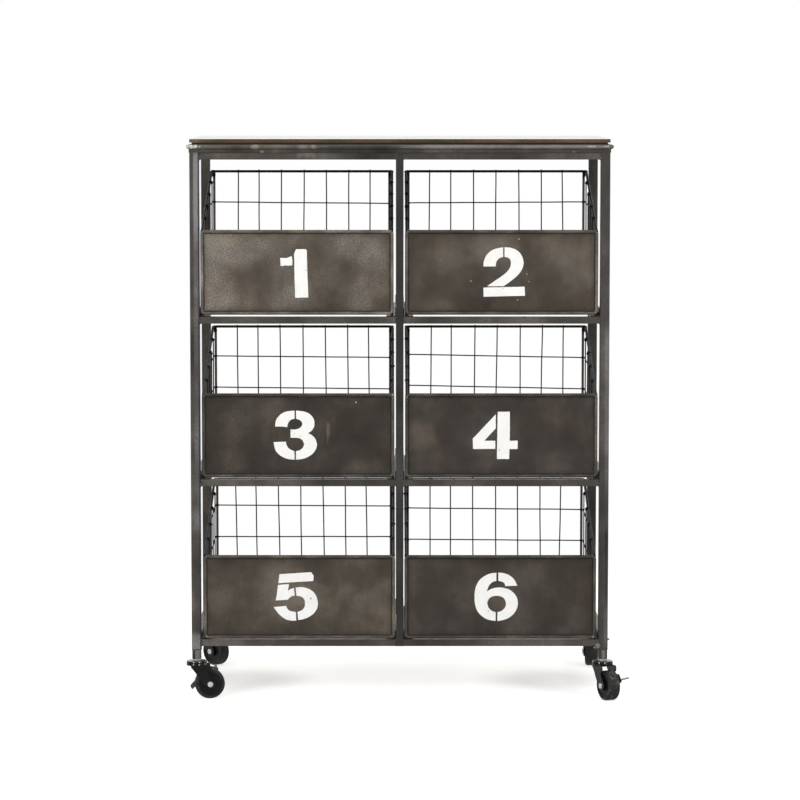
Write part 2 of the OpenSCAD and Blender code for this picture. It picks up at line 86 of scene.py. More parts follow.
CAMERA_PITCH = 5.3
cam_data = bpy.data.cameras.new("camera")
cam_data.lens = 155.25
cam_data.sensor_width = 36
cam_data.clip_end = 60
cam_data.shift_x = 0.01032
camera = bpy.data.objects.new("camera", cam_data)
camera.location = (-0.015, -6.603, 1.157)
camera.rotation_euler = (math.radians(90 - CAMERA_PITCH), 0, 0)
scene.collection.objects.link(camera)
scene.camera = camera


def area_light(name, place, target, size, power):
    data = bpy.data.lights.new(name, "AREA")
    data.shape = "RECTANGLE"
    data.size, data.size_y = size
    data.energy = power
    obj = bpy.data.objects.new(name, data)
    obj.location = place
    scene.collection.objects.link(obj)
    aim(obj, target)
    return obj


# The two front lamps are flagged off the flat top, which would mirror them as plain white towards the back
flagged = bpy.data.collections.new("flagged_top")
flagged.objects.link(nodes["top_plate"])
flagged.collection_objects[0].light_linking.link_state = "EXCLUDE"
for lamp in (
    area_light("softbox_left", (-2.6, -3.4, 1.75), (0, 0, 0.45), (1.3, 1.8), 58),
    area_light("softbox_right", (2.8, -3.0, 1.65), (0, 0, 0.45), (1.3, 1.8), 46),
):
    lamp.light_linking.receiver_collection = flagged
area_light("softbox_top", (0, -0.4, 3.4), (0, 0, 0.4), (3.2, 2.4), 26)
area_light("softbox_back", (0.4, 4.2, 2.6), (0, 0, 0.6), (3.6, 2.6), 14)

scene.view_settings.view_transform = "Standard"


# Node helpers


def rgb(r, g, b):
    """A colour of the screen's 0 to 255 as the linear colour that a shader takes."""
    return tuple(((v / 255 + 0.055) / 1.055) ** 2.4 for v in (r, g, b)) + (1.0,)


def scaled(colour, factor, plus=0.0):
    return tuple(min(1.0, c * factor + plus) for c in colour[:3]) + (1,)


class Tree:
    """A short way to write a node tree."""

    def __init__(self, owner):
        owner.use_nodes = True
        self.t = owner.node_tree
        self.t.nodes.clear()

    def put(self, socket, value):
        if isinstance(value, bpy.types.NodeSocket):
            self.t.links.new(value, socket)
        elif value is not None:
            socket.default_value = value

    def add(self, kind, inputs, out=0, **props):
        n = self.t.nodes.new(kind)
        for key, value in props.items():
            setattr(n, key, value)
        for key, value in inputs.items():
            self.put(n.inputs[key], value)
        return n.outputs[out]

    def math(self, op, a, b=None):
        return self.add("ShaderNodeMath", {0: a, 1: b}, operation=op)

    def noise(self, where, scale, detail=3.0, rough=0.55, warp=0.0):
        sockets = {"Vector": where, "Scale": scale, "Detail": detail, "Roughness": rough, "Distortion": warp}
        return self.add("ShaderNodeTexNoise", sockets)

    def span(self, value, a, b, lo=0.0, hi=1.0):
        """Goes smoothly from lo to hi while value goes from a to b."""
        sockets = {0: value, 1: a, 2: b, 3: lo, 4: hi}
        return self.add("ShaderNodeMapRange", sockets, interpolation_type="SMOOTHSTEP")

    def blend(self, factor, a, b):
        return self.add("ShaderNodeMix", {0: factor, 2: a, 3: b})

    def mix(self, factor, a, b, how="MIX"):
        return self.add("ShaderNodeMix", {0: factor, 6: a, 7: b}, out=2, data_type="RGBA", blend_type=how)

    def ramp(self, value, stops):
        n = self.t.nodes.new("ShaderNodeValToRGB")
        while len(n.color_ramp.elements) < len(stops):
            n.color_ramp.elements.new(0.5)
        for e, (at, colour) in zip(n.color_ramp.elements, stops):
            e.position = at
            e.color = colour
        self.t.links.new(value, n.inputs[0])
        return n.outputs[0]

    def here(self):
        """The place in the object's own frame."""
        return self.add("ShaderNodeTexCoord", {}, out=3)

    def place(self, stretch=(1, 1, 1), shift=(0, 0, 0)):
        return self.add("ShaderNodeMapping", {"Vector": self.here(), "Scale": stretch, "Location": shift})

    def axes(self, vector):
        n = self.t.nodes.new("ShaderNodeSeparateXYZ")
        self.t.links.new(vector, n.inputs[0])
        return n.outputs

    def distance(self, where, point):
        """In metres, to a point in millimetres."""
        sockets = {0: where, 1: tuple(v * MM for v in point)}
        return self.add("ShaderNodeVectorMath", sockets, out=1, operation="DISTANCE")

    def within(self, value, low, high, soft):
        """1 where value lies between low and high, with soft edges, all three in millimetres."""
        off = self.math("ABSOLUTE", self.math("SUBTRACT", value, (high + low) / 2 * MM))
        return self.span(self.math("SUBTRACT", (high - low) / 2 * MM, off), -soft * MM, soft * MM)

    def emit(self, colour, strength):
        return self.add("ShaderNodeEmission", {"Color": colour, "Strength": strength})

    def light_path(self):
        """1 for what the camera or glass sees, and 1 for what a glossy surface mirrors."""
        rays = self.t.nodes.new("ShaderNodeLightPath").outputs
        return self.math("MAXIMUM", rays["Is Camera Ray"], rays["Is Transmission Ray"]), rays["Is Glossy Ray"]

    def output(self, shader, kind="ShaderNodeOutputMaterial"):
        self.t.links.new(shader, self.t.nodes.new(kind).inputs["Surface"])


# World and floor: white for the camera and glass. What metal mirrors is white behind the rack and darker in front.

WHITE = (1, 1, 1, 1)
world = bpy.data.worlds.new("studio")
scene.world = world
w = Tree(world)
seen, glossy = w.light_path()
toward = w.axes(w.add("ShaderNodeTexCoord", {}))
ambient = w.math("MULTIPLY", w.span(toward[2], -0.2, 0.7, 0.5, 1.0), 0.52)
mirrored = w.span(toward[1], -0.2, 0.8, 0.22, 0.95)
level = w.blend(seen, w.blend(glossy, ambient, mirrored), 1.0)
w.output(w.add("ShaderNodeBackground", {"Color": WHITE, "Strength": level}), "ShaderNodeOutputWorld")

FLOOR_HALF = 30
floor_mesh = bpy.data.meshes.new("floor")
floor_mesh.from_pydata([(x * FLOOR_HALF, y * FLOOR_HALF, 0) for x, y in ((-1, -1), (1, -1), (1, 1), (-1, 1))], [],
                       [(0, 1, 2, 3)])
floor = bpy.data.objects.new("floor", floor_mesh)
scene.collection.objects.link(floor)
floor_mat = bpy.data.materials.new("floor_paper")
f = Tree(floor_mat)
seen, glossy = f.light_path()
where = f.here()
paper = f.mix(f.noise(f.place(), 2.0), (0.80, 0.795, 0.78, 1), (0.82, 0.815, 0.80, 1))
# Two soft darker patches beside the casters are painted shadow: the floor's lift is lowered there.
lift_with_painted_shadow = 0.66
for x in (-300, 290):
    lift_with_painted_shadow = f.math("SUBTRACT", lift_with_painted_shadow, f.span(f.distance(where, (x, 0, 0)), 0.04, 0.17, 0.22, 0.0))
lift = f.emit((1, 0.99, 0.97, 1), f.math("MULTIPLY", seen, lift_with_painted_shadow))
near = f.add("ShaderNodeAddShader", {0: f.add("ShaderNodeBsdfDiffuse", {"Color": paper}), 1: lift})
fade = f.math("MULTIPLY", seen, f.span(f.distance(where, (0, 0, 0)), 0.9, 2.0))
faded = f.add("ShaderNodeMixShader", {0: fade, 1: near, 2: f.emit(WHITE, 1.0)})
shine = f.emit(WHITE, f.span(f.axes(where)[1], -0.5, 1.5, 0.30, 0.95))
f.output(f.add("ShaderNodeMixShader", {0: glossy, 1: faded, 2: shine}))
floor_mesh.materials.append(floor_mat)


# Materials


def surface(tree, sockets, bump, distance, strength):
    """The shader with these sockets, and a bump of so many metres."""
    n = tree.t.nodes.new("ShaderNodeBsdfPrincipled")
    for key, value in sockets.items():
        tree.put(n.inputs[key], value)
    normal = tree.add("ShaderNodeBump", {"Distance": distance, "Strength": strength, "Height": bump})
    tree.t.links.new(normal, n.inputs["Normal"])
    if "Coat Weight" in sockets:
        tree.t.links.new(normal, n.inputs["Coat Normal"])
    tree.output(n.outputs[0])


def lacquered_steel(name, tones, warm, seed, patches=(), light_and_wear_bands=(), *, cloud, rough=0.42, edge_shade=None, coat=0.25,
                    coat_rough=0.22, specks=(), stained=0.6, flecks=1.0, lean=None):
    """Raw steel under a smoky lacquer: soft clouds, warm stains, fine speckle and rubbed spots, with painted
    highlights and painted shade where asked.

    tones are a dark, a middle and a light colour, and cloud is the scale of the clouds. Lengths are in millimetres: a
    patch is (x, y, z, radius, amount), a band (x0, x1, z0, z1, soft_x, soft_z, amount) and a speck (x, y, z, radius).
    A band is a scuff on some materials, and painted highlights and painted shade on others. The sheet given by its
    centre and half size gets painted shade along its edges, the dark slit where it meets its frame. lean gives the x
    between which the colour goes from brownish to bluish."""
    mat = bpy.data.materials.new(name)
    t = Tree(mat)
    dark, mid, light = (rgb(*tone) for tone in tones)
    at = t.place(shift=(seed * 1.7, seed * 0.9, seed * 1.3))
    where = t.here()
    x_at, _, z_at = t.axes(where)
    mottle = t.noise(at, cloud * 5.5, 4.0, 0.6)
    grain = t.noise(at, 420.0, 3.0, 0.65)
    uneven = t.math("SUBTRACT", grain, 0.5)
    streak = t.noise(t.place((40, 40, 9), (seed, 0, 0)), 3.0, 3.0, 0.6)
    tone = t.math("MULTIPLY", t.noise(at, cloud, 2.0, 0.5, 0.2), 0.70)
    for part, weight in ((mottle, 0.14), (streak, 0.08)):
        tone = t.math("ADD", tone, t.math("MULTIPLY", part, weight))
    tone = t.math("ADD", tone, 0.02)
    for *point, radius, amount in patches:
        tone = t.math("ADD", tone, t.span(t.distance(where, point), radius * MM, 0.0, 0.0, amount))
    # Each band is a scuff on some materials, and a painted highlight or painted shade on others.
    for x0, x1, z0, z1, soft_x, soft_z, amount in light_and_wear_bands:
        inside = t.math("MULTIPLY", t.within(x_at, x0, x1, soft_x), t.within(z_at, z0, z1, soft_z))
        tone = t.math("ADD", tone, t.math("MULTIPLY", inside, amount))
    fleck = t.math("MULTIPLY", uneven, t.span(tone, 0.42, 0.78, 0.25 * flecks, 1.5 * flecks))
    tone = t.math("ADD", tone, fleck)
    colour = t.ramp(tone, [(0.22, dark), (0.48, mid), (0.78, light)])
    stain = t.span(t.noise(at, cloud * 1.4, 2.0, 0.5), 0.46, 0.66, 0.0, stained)
    colour = t.mix(stain, colour, warm, "MULTIPLY")
    if lean:
        across = t.span(x_at, lean[0] * MM, lean[1] * MM)
        colour = t.mix(1.0, colour, t.mix(across, (1.05, 0.97, 0.90, 1), (0.95, 0.99, 1.08, 1)), "MULTIPLY")
    rubbed = t.span(t.noise(at, 260.0, 5.0, 0.7), 0.69, 0.78, 0.0, 0.40)
    colour = t.mix(rubbed, colour, scaled(light, 1.5))
    soot = t.span(t.noise(at, 150.0, 4.0, 0.65), 0.36, 0.26, 0.0, 0.5)
    colour = t.mix(soot, colour, scaled(dark, 0.5))
    for *point, radius in specks:
        ragged = t.math("ADD", t.distance(where, point), t.math("MULTIPLY", uneven, radius * 2.4 * MM))
        colour = t.mix(t.span(ragged, radius * MM, radius * 0.5 * MM, 0.0, 0.92), colour, rgb(232, 228, 220))
    # Painted shade along the sheet's edges: a near black line at the slit by its frame, and a broader darkening
    # inwards.
    if edge_shade:
        x, z, half_w, half_h = (v * MM for v in edge_shade)
        dx = t.math("SUBTRACT", half_w, t.math("ABSOLUTE", t.math("SUBTRACT", x_at, x)))
        dz = t.math("SUBTRACT", half_h, t.math("ABSOLUTE", t.math("SUBTRACT", z_at, z)))
        wander = t.math("MULTIPLY", t.math("SUBTRACT", mottle, 0.5), 0.002)
        edge = t.math("ADD", t.math("MINIMUM", dx, dz), wander)
        colour = t.mix(t.span(edge, 0.0026, 0.0008, 0.0, 0.80), colour, rgb(38, 32, 27))
        colour = t.mix(t.span(edge, 0.012, 0.001, 0.0, 0.30), colour, dark)
    roughness = t.math("ADD", t.math("MULTIPLY", mottle, 0.22), rough - 0.11)
    height = t.math("ADD", t.math("MULTIPLY", grain, 0.6), t.math("MULTIPLY", mottle, 0.8))
    sockets = {"Base Color": colour, "Metallic": 0.35, "Roughness": roughness, "Coat Weight": coat,
               "Coat Roughness": coat_rough, "Specular IOR Level": 0.35}
    surface(t, sockets, height, 0.0003, 0.30)
    return mat


def enamel(name, base, light, rough, seed, scuff, coat, painted_glints=()):
    """Black gloss coating or plastic with dust and fine scratches, and painted glints, white spots standing in for
    lamp reflections, at (x, y, z, radius).
    """
    mat = bpy.data.materials.new(name)
    t = Tree(mat)
    at = t.place(shift=(seed, seed * 2, 0))
    cloud = t.noise(at, 60.0, 4.0, 0.6)
    fine = t.noise(at, 900.0, 2.0, 0.6)
    lines = t.noise(t.place((30, 30, 420), (seed, 0, 0)), 4.0, 4.0, 0.7)
    colour = t.mix(t.span(cloud, 0.35, 0.75), base, light)
    marks = t.span(lines, 0.66, 0.74, 0.0, scuff)
    dust = t.span(fine, 0.62, 0.76, 0.0, scuff)
    colour = t.mix(t.math("MAXIMUM", marks, dust), colour, scaled(light, 3, 0.03))
    for *point, radius in painted_glints:
        spot = t.span(t.distance(t.here(), point), radius * MM, radius * 0.6 * MM, 0.0, 0.9)
        colour = t.mix(spot, colour, rgb(214, 214, 210))
    roughness = t.math("ADD", t.math("MULTIPLY", cloud, 0.25), rough - 0.1)
    sockets = {"Base Color": colour, "Roughness": roughness, "Coat Weight": coat, "Coat Roughness": 0.12,
               "Specular IOR Level": 0.4}
    surface(t, sockets, t.math("ADD", fine, cloud), 0.00015, 0.25)
    return mat


def zinc_plate(name, tint, rough, seed, dull=0.4, metal=0.9):
    """Zinc with soft spangle and dull, dirty spots."""
    mat = bpy.data.materials.new(name)
    t = Tree(mat)
    at = t.place(shift=(seed, 0, seed))
    cloud = t.noise(at, 120.0, 4.0, 0.6)
    grain = t.add("ShaderNodeTexVoronoi", {"Vector": at, "Scale": 420.0}, out=0)
    colour = t.mix(t.span(cloud, 0.3, 0.75), tint, scaled(tint, 0.62))
    colour = t.mix(t.span(t.noise(at, 300.0, 3.0), 0.55, 0.7, 0.0, dull), colour, rgb(92, 86, 76))
    roughness = t.math("ADD", t.math("MULTIPLY", cloud, 0.3), rough - 0.12)
    surface(t, {"Base Color": colour, "Metallic": metal, "Roughness": roughness}, grain, 0.0001, 0.2)
    return mat


def wire_steel(name, seed, corner_rods=None):
    """Dark drawn wire with a thin lacquer, lighter where it is rubbed. corner_rods gives the heights between which
    the rods at the back corners are paler."""
    mat = bpy.data.materials.new(name)
    t = Tree(mat)
    at = t.place(shift=(seed, seed, seed))
    cloud = t.noise(at, 30.0, 4.0, 0.6)
    fine = t.noise(at, 600.0, 3.0, 0.6)
    colour = t.ramp(t.math("ADD", t.math("MULTIPLY", cloud, 0.7), t.math("MULTIPLY", fine, 0.3)),
                    [(0.3, rgb(15, 13, 13)), (0.55, rgb(30, 27, 27)), (0.8, rgb(58, 53, 51))])
    rust = t.span(t.noise(at, 90.0, 4.0, 0.65), 0.6, 0.75, 0.0, 0.5)
    colour = t.mix(rust, colour, rgb(62, 46, 38))
    if corner_rods:
        _, y_at, z_at = t.axes(t.here())
        pale = t.math("MULTIPLY", t.span(y_at, 0.1570, 0.1575), t.within(z_at, *corner_rods, 4))
        colour = t.mix(pale, colour, rgb(84, 73, 71))
    sockets = {"Base Color": colour, "Metallic": 0.25, "Roughness": t.span(fine, 0.2, 0.8, 0.4, 0.65),
               "Specular IOR Level": 0.25}
    surface(t, sockets, fine, 0.0002, 0.4)
    return mat


def rubber(name, seed, scuffed=0.55, start=0.58, scale=170.0):
    """Black tread with grey scuffs round its running face, more of them with a lower start."""
    mat = bpy.data.materials.new(name)
    t = Tree(mat)
    at = t.place(shift=(seed * 3, seed, seed * 2))
    cloud = t.noise(at, 45.0, 5.0, 0.65)
    fine = t.noise(at, 700.0, 3.0, 0.6)
    colour = t.ramp(cloud, [(0.3, rgb(18, 17, 17)), (0.5, rgb(30, 29, 28)), (0.75, rgb(62, 61, 58))])
    dirt = t.span(t.noise(at, scale, 4.0, 0.7), start, start + 0.12, 0.0, scuffed)
    sockets = {"Base Color": t.mix(dirt, colour, rgb(122, 118, 108)),
               "Roughness": t.span(cloud, 0.2, 0.8, 0.42, 0.75)}
    surface(t, sockets, t.math("ADD", fine, cloud), 0.0003, 0.5)
    return mat


def stencil_paint(name, seed):
    """Nearly white sprayed paint with small bare specks and pores."""
    mat = bpy.data.materials.new(name)
    t = Tree(mat)
    at = t.place(shift=(seed * 2.3, 0, seed * 1.1))
    cloud = t.noise(at, 40.0, 3.0, 0.6)
    colour = t.mix(t.span(cloud, 0.3, 0.7), rgb(254, 253, 251), rgb(247, 246, 242))
    specks = t.span(t.noise(at, 170.0, 2.0, 0.5), 0.735, 0.765)
    pores = t.span(t.noise(at, 620.0, 2.0, 0.6), 0.74, 0.79, 0.0, 0.55)
    colour = t.mix(t.math("MAXIMUM", specks, pores), colour, rgb(120, 112, 100))
    sockets = {"Base Color": colour, "Roughness": 0.55, "Specular IOR Level": 0.3}
    surface(t, sockets, t.noise(at, 500.0, 3.0), 0.0002, 0.3)
    return mat


def weld_steel(name, seed, shine=1.0, metal=0.55):
    """Bare weld metal: dark scale in the hollows and bright tops."""
    mat = bpy.data.materials.new(name)
    t = Tree(mat)
    at = t.place(shift=(seed, seed * 2, seed))
    cloud = t.noise(at, 160.0, 4.0, 0.65)
    stops = [(0.3, (38, 36, 34)), (0.5, (84, 81, 76)), (0.66, (120, 117, 110))]
    stops = [(stop, rgb(*(v * shine for v in tone))) for stop, tone in stops]
    colour = t.ramp(cloud, [*stops, (0.8, rgb(215, 212, 206))])
    sockets = {"Base Color": colour, "Metallic": metal, "Roughness": t.span(cloud, 0.3, 0.7, 0.32, 0.6)}
    surface(t, sockets, t.noise(at, 900.0), 0.0003, 0.5)
    return mat


def on_face(y, spots, cx=0.0, cz=0.0):
    """Spots or specks (x, z, ...) about a centre, laid on the face at y."""
    return [(cx + x, y, cz + z, *rest) for x, z, *rest in spots]


WARM = (1.04, 0.95, 0.85, 1)
COOL = (0.97, 0.99, 1.05, 1)
# The left post: the long pale strips in its right half are painted reflections, the thin dark strip along its inner
# edge is painted shade of its rounded corner, and the short strips vary its tone.
left_post_steel = lacquered_steel(
    "left_post_steel", ((56, 53, 50), (88, 84, 80), (146, 144, 144)), WARM, 1.0,
    on_face(POST_FACE_Y, [(-386, 190, 150, 0.02)]),
    [(-382.5, -374.5, 860, 1030, 2.0, 40, 0.28), (-391, -384, 700, 1030, 3, 20, -0.07),
     (-390, -372, 500, 740, 3, 40, -0.06), (-391, -383, 60, 200, 3, 12, 0.06), (-391, -371, 124, 330, 3, 30, -0.10),
     (-391, -371, 60, 124, 3, 8, 0.32), (-374.2, -371, 60, 1030, 0.6, 12, -0.34),
     (-382, -374.5, 380, 860, 2, 60, 0.05), (-391, -383, 620, 700, 2, 20, -0.22),
     (-391, -383, 730, 790, 2, 16, -0.09), (-391, -383, 960, 1015, 2, 16, -0.06),
     (-391, -383, 410, 480, 2, 20, -0.10), (-391, -383, 295, 350, 2, 16, 0.09),
     (-391, -383, 200, 270, 2, 16, -0.07), (-383, -373, 290, 350, 2, 16, 0.13),
     (-383, -373, 405, 450, 2, 14, -0.07), (-383, -373, 190, 260, 2, 20, -0.11),
     (-383, -373, 760, 830, 2, 20, 0.05)],
    cloud=9.0, stained=0.3, flecks=0.4, lean=(-389, -374),
)
# The right post: the long pale strip in its right half is a painted reflection, the thin dark strip along its inner
# edge is painted shade of its rounded corner, and the other strips vary its tone.
right_post_steel = lacquered_steel(
    "right_post_steel", ((54, 51, 48), (86, 82, 79), (138, 134, 129)), WARM, 2.0,
    on_face(POST_FACE_Y, [(386, 560, 220, 0.08)]),
    [(382, 391, 90, 700, 2.5, 30, 0.15), (371, 391, 900, 1030, 3, 12, -0.10), (371, 373.4, 60, 1030, 0.6, 12, -0.30),
     (371, 391, 60, 480, 3, 40, -0.12), (383, 391, 180, 320, 2, 20, -0.26), (371, 382, 310, 380, 2, 16, 0.08),
     (371, 382, 190, 270, 2, 16, -0.08)],
    cloud=9.0, stained=0.3, flecks=0.4, lean=(373, 389),
)
centre_post_steel = lacquered_steel(
    "centre_post_steel", ((40, 38, 37), (61, 59, 58), (92, 88, 84)), COOL, 3.0,
    on_face(RAIL_FACE_Y, [(0, 420, 90, 0.12), (0, 560, 60, -0.10)]), cloud=9.0, stained=0.3, flecks=0.4,
)
rear_steel = lacquered_steel("rear_steel", ((48, 44, 40), (74, 70, 65), (116, 110, 102)), WARM, 4.0, cloud=9.0)
rail_steel = lacquered_steel(
    "rail_steel", ((50, 47, 44), (82, 78, 74), (126, 121, 114)), WARM, 5.0,
    on_face(RAIL_FACE_Y, [
        (-330, 712, 60, 0.02), (-65, 712, 60, -0.16), (232, 712, 60, 0.26), (60, 712, 60, -0.12),
        (-250, 408, 160, 0.18), (-325, 408, 60, 0.14), (-157, 408, 60, -0.16), (50, 408, 60, -0.12),
        (139, 408, 60, 0.10), (330, 408, 120, -0.04), (-320, 106, 90, 0.16), (-157, 106, 80, -0.14),
        (-65, 106, 60, -0.14), (240, 106, 120, 0.08), (-330, 1016, 120, 0.06), (-65, 1016, 70, -0.18),
        (0, 1016, 160, -0.06), (-186, 1019, 10, 0.20), (-172, 1021, 12, 0.34), (-160, 1018, 8, 0.24),
        (12, 1012, 6, 0.2),
    ]),
    cloud=9.0, stained=0.35, flecks=0.5,
)
# The top plate: the dark strip along the lower part of its front edge is painted shade, the shadow over the groove
# beneath it.
plate_steel = lacquered_steel(
    "plate_steel", ((82, 69, 49), (119, 101, 75), (158, 138, 108)), WARM, 6.0,
    on_face(POST_FACE_Y, [(-386, 1046, 30, 0.3), (-130, 1046, 60, -0.08), (60, 1046, 90, -0.08),
                          (0, 1046, 240, -0.06), (330, 1046, 70, 0.08)]),
    [(-400, 400, 1036, 1041.4, 60, 0.4, -0.62)], cloud=11.0, rough=0.32, coat=0.9, coat_rough=0.12, flecks=0.6,
)
# The moulding: the long light strips along the bead are a painted highlight, the lamps' sheen along its front, dimmed
# over two stretches.
moulding_steel = lacquered_steel(
    "moulding_steel", ((50, 47, 43), (84, 80, 74), (150, 146, 137)), WARM, 7.0,
    on_face(LIP_FACE_Y, [(-200, 1034, 90, 0.04), (-255, 1024, 7, 0.34), (322, 1024, 6, 0.2)])
    + on_face(BEAD_FACE_Y, [(-268, 1034, 12, 0.34), (-180, 1034, 16, 0.16), (-160, 1034, 8, 0.30)]),
    [(-400, 400, 1031.2, 1036.4, 60, 1.6, 0.14), (-320, -200, 1023, 1037, 30, 2, -0.06),
     (20, 400, 1031, 1037, 30, 1.6, 0.12), (-130, -10, 1023, 1037, 30, 2, -0.16)],
    cloud=12.0, rough=0.36, flecks=0.6,
    specks=[(-394, -208, 1034, 5.5)] + on_face(BEAD_FACE_Y, [
        (-386, 1034, 5.5), (-378, 1034.3, 4.2), (-370, 1034.4, 1.6),
        *((x, 1034.6, 1.3) for x in (349, 352, 355, 358, 361, 379, 382, 385)),
    ]),
)
runner_steel = lacquered_steel("runner_steel", ((30, 28, 26), (48, 45, 42), (78, 73, 68)), WARM, 8.0, cloud=10.0)
# The sockets: the light stripe down each front is a painted highlight, and the darker strip at each outer side is
# painted shade.
socket_steel = lacquered_steel(
    "socket_steel", ((46, 44, 41), (84, 82, 77), (132, 129, 122)), WARM, 9.0, (),
    [(-383.5, -375.5, 70, 96, 1.6, 12, 0.44), (379, 385.5, 70, 96, 1.6, 12, 0.48), (-391, -385, 70, 96, 1, 12, -0.12),
     (387, 391, 70, 96, 0.8, 12, -0.14)],
    cloud=40.0, rough=0.34, flecks=0.6,
)
basket_rods = {}
for k in range(1, 7):
    z = basket_place(k)[1]
    basket_rods[k] = wire_steel(f"basket_rod_{k}", k * 1.3, (z + 12, z + 246))
basket_wire = wire_steel("basket_wire", 2.0)
weld = weld_steel("weld_steel", 1.0)
pale_weld = weld_steel("pale_weld", 2.0, 2.1, 0.15)
blob_weld = weld_steel("blob_weld", 3.0, 1.35, 0.25)
# The seams' near black lacquer is painted shade, the dark of the slit between panel and rod frame.
seam_painted_shade = lacquered_steel(
    "seam_painted_shade", ((26, 22, 18), (44, 38, 31), (78, 70, 60)), WARM, 12.0, cloud=60.0, rough=0.6, coat=0.0,
)
# The white spots on the fork heads and cups are painted glints, standing in for the lamps' reflections in their rims.
black_steel = enamel("black_steel", rgb(10, 10, 11), rgb(20, 20, 21), 0.20, 1.0, 0.14, 0.3, [
    (-386.5, -213.7, 66, 1.4), (-375.5, -213.7, 66, 1.4), (-365.5, -206.8, 66, 1.4)])
cup_black = enamel("cup_black", rgb(8, 8, 9), rgb(17, 17, 18), 0.16, 3.0, 0.14, 0.6, [
    (-386, -213.5, 70.6, 1.5), (-375, -213.5, 70.6, 1.5), (373.3, -212.9, 69.4, 1.5), (384.2, -214.2, 69.4, 1.5)])
wheel_plastic = enamel("wheel_plastic", rgb(16, 16, 16), rgb(27, 27, 27), 0.34, 2.0, 0.12, 0.0)
bright_zinc = zinc_plate("bright_zinc", (0.97, 0.97, 0.96, 1), 0.40, 3.0, 0.15, 0.35)
lever_zinc = zinc_plate("lever_zinc", (0.24, 0.235, 0.23, 1), 0.36, 2.0)
tyre_rubber = rubber("tyre_rubber", 1.0)
worn_rubber = rubber("worn_rubber", 2.0, 0.60, 0.53, 120.0)
paint = stencil_paint("stencil_paint", 1.0)

# Each panel's three tones, the strength of its flecks, and its clouds and stains, placed about its centre as
# (x, z, radius, amount). Then a few light specks (x, z, radius) and scuffs, as bands about the centre.
PANELS = {
    1: (((58, 51, 44), (101, 93, 84), (152, 145, 135)), 1.1, [
        (-150, 62, 90, 0.2), (-95, 48, 60, 0.12), (-160, -45, 70, 0.22), (-95, 0, 50, 0.07), (145, 50, 60, 0.14),
        (15, 20, 70, -0.03), (60, -55, 70, -0.15), (-75, -8, 40, -0.06), (160, -60, 40, -0.14),
        (-108, -55, 50, 0.15), (-22, 0, 40, -0.04), (-65, 18, 40, -0.06), (130, 18, 45, -0.08),
        (108, -55, 35, 0.05),
    ]),
    2: (((53, 46, 39), (87, 79, 70), (128, 120, 109)), 0.35, [
        (-10, 45, 60, 0.16), (130, 25, 70, 0.14), (165, 0, 70, 0.1), (-110, 20, 50, 0.02), (-108, -10, 50, -0.08),
        (-22, -20, 40, 0.1), (65, 5, 45, 0.06), (-40, -60, 80, -0.22), (-160, 55, 50, -0.1), (95, -35, 40, -0.05),
        (-108, -25, 60, -0.09), (-65, 54, 40, -0.05), (22, -55, 40, -0.06), (108, 5, 45, -0.08),
        (155, 54, 40, 0.09),
    ]),
    3: (((44, 39, 34), (67, 61, 54), (106, 98, 89)), 0.6, [
        (-125, 30, 60, 0.18), (-45, 15, 50, 0.14), (-15, -5, 50, 0.05), (125, -55, 50, 0.14), (90, 25, 60, -0.1),
        (-150, -10, 40, -0.05), (65, 5, 45, -0.07), (108, 54, 35, -0.04), (-151, 18, 35, -0.05),
        (-130, -55, 50, 0.04),
    ]),
    4: (((47, 42, 37), (71, 65, 59), (107, 99, 91)), 0.3, [
        (-155, 15, 60, 0.12), (-150, 55, 40, 0.05), (-45, 20, 70, 0.08), (20, 10, 70, 0.12), (100, 30, 45, 0.14),
        (120, -50, 45, 0.06), (60, -45, 50, -0.08), (-155, 50, 40, -0.1), (-155, -50, 45, -0.07),
        (-108, 35, 45, 0.08), (22, 20, 40, 0.05), (90, 20, 50, 0.08),
    ]),
    5: (((52, 46, 40), (88, 80, 71), (133, 125, 113)), 0.5, [
        (-20, 15, 80, 0.2), (-110, 20, 60, 0.08), (-140, -10, 60, 0.08), (-50, 55, 45, 0.1), (110, 5, 60, 0.06),
        (-130, 60, 60, -0.1), (30, 62, 60, -0.1), (-20, -60, 80, -0.16), (160, 60, 40, -0.16),
        (-65, -55, 40, -0.08), (65, -55, 40, -0.08), (-65, 55, 40, 0.04), (155, 55, 40, -0.05),
        (-151, -18, 35, 0.05), (-22, 0, 40, -0.04),
    ]),
    6: (((47, 42, 37), (72, 66, 59), (109, 101, 93)), 0.45, [
        (-15, 5, 60, 0.16), (-110, -30, 60, 0.07), (160, 0, 60, 0.1), (75, 45, 45, 0.05), (80, -20, 60, -0.14),
        (-90, 40, 50, -0.05), (155, 40, 50, 0.1), (155, -60, 40, -0.1), (-85, -58, 45, 0.08), (65, -18, 40, -0.04),
    ]),
}
PANEL_SPECKS = {
    2: [(32, 62, 1.2), (47, -3, 1.0), (51, -17, 1.1), (-57, -16, 1.2), (30, -51, 1.1)],
    3: [(108, 62, 1.8)],
}
PANEL_SCUFFS = {3: [(53, 59, 0, 22, 2, 7, 0.26), (54, 56, -15, 12, 0.8, 7, 0.26)]}
panel_mats = {}
for k, (tones, flecks, spots) in PANELS.items():
    cx, cz = panel_centre(k)
    specks = on_face(PANEL_Y, PANEL_SPECKS.get(k, []), cx, cz)
    scuffs = [(cx + x0, cx + x1, cz + z0, cz + z1, *rest) for x0, x1, z0, z1, *rest in PANEL_SCUFFS.get(k, [])]
    panel_mats[k] = lacquered_steel(
        f"panel_steel_{k}", tones, WARM, 16.0 + k, on_face(PANEL_Y, spots, cx, cz), scuffs, cloud=11.0, rough=0.45,
        edge_shade=(cx, cz, 173.2, 72.7), flecks=flecks, specks=specks,
    )

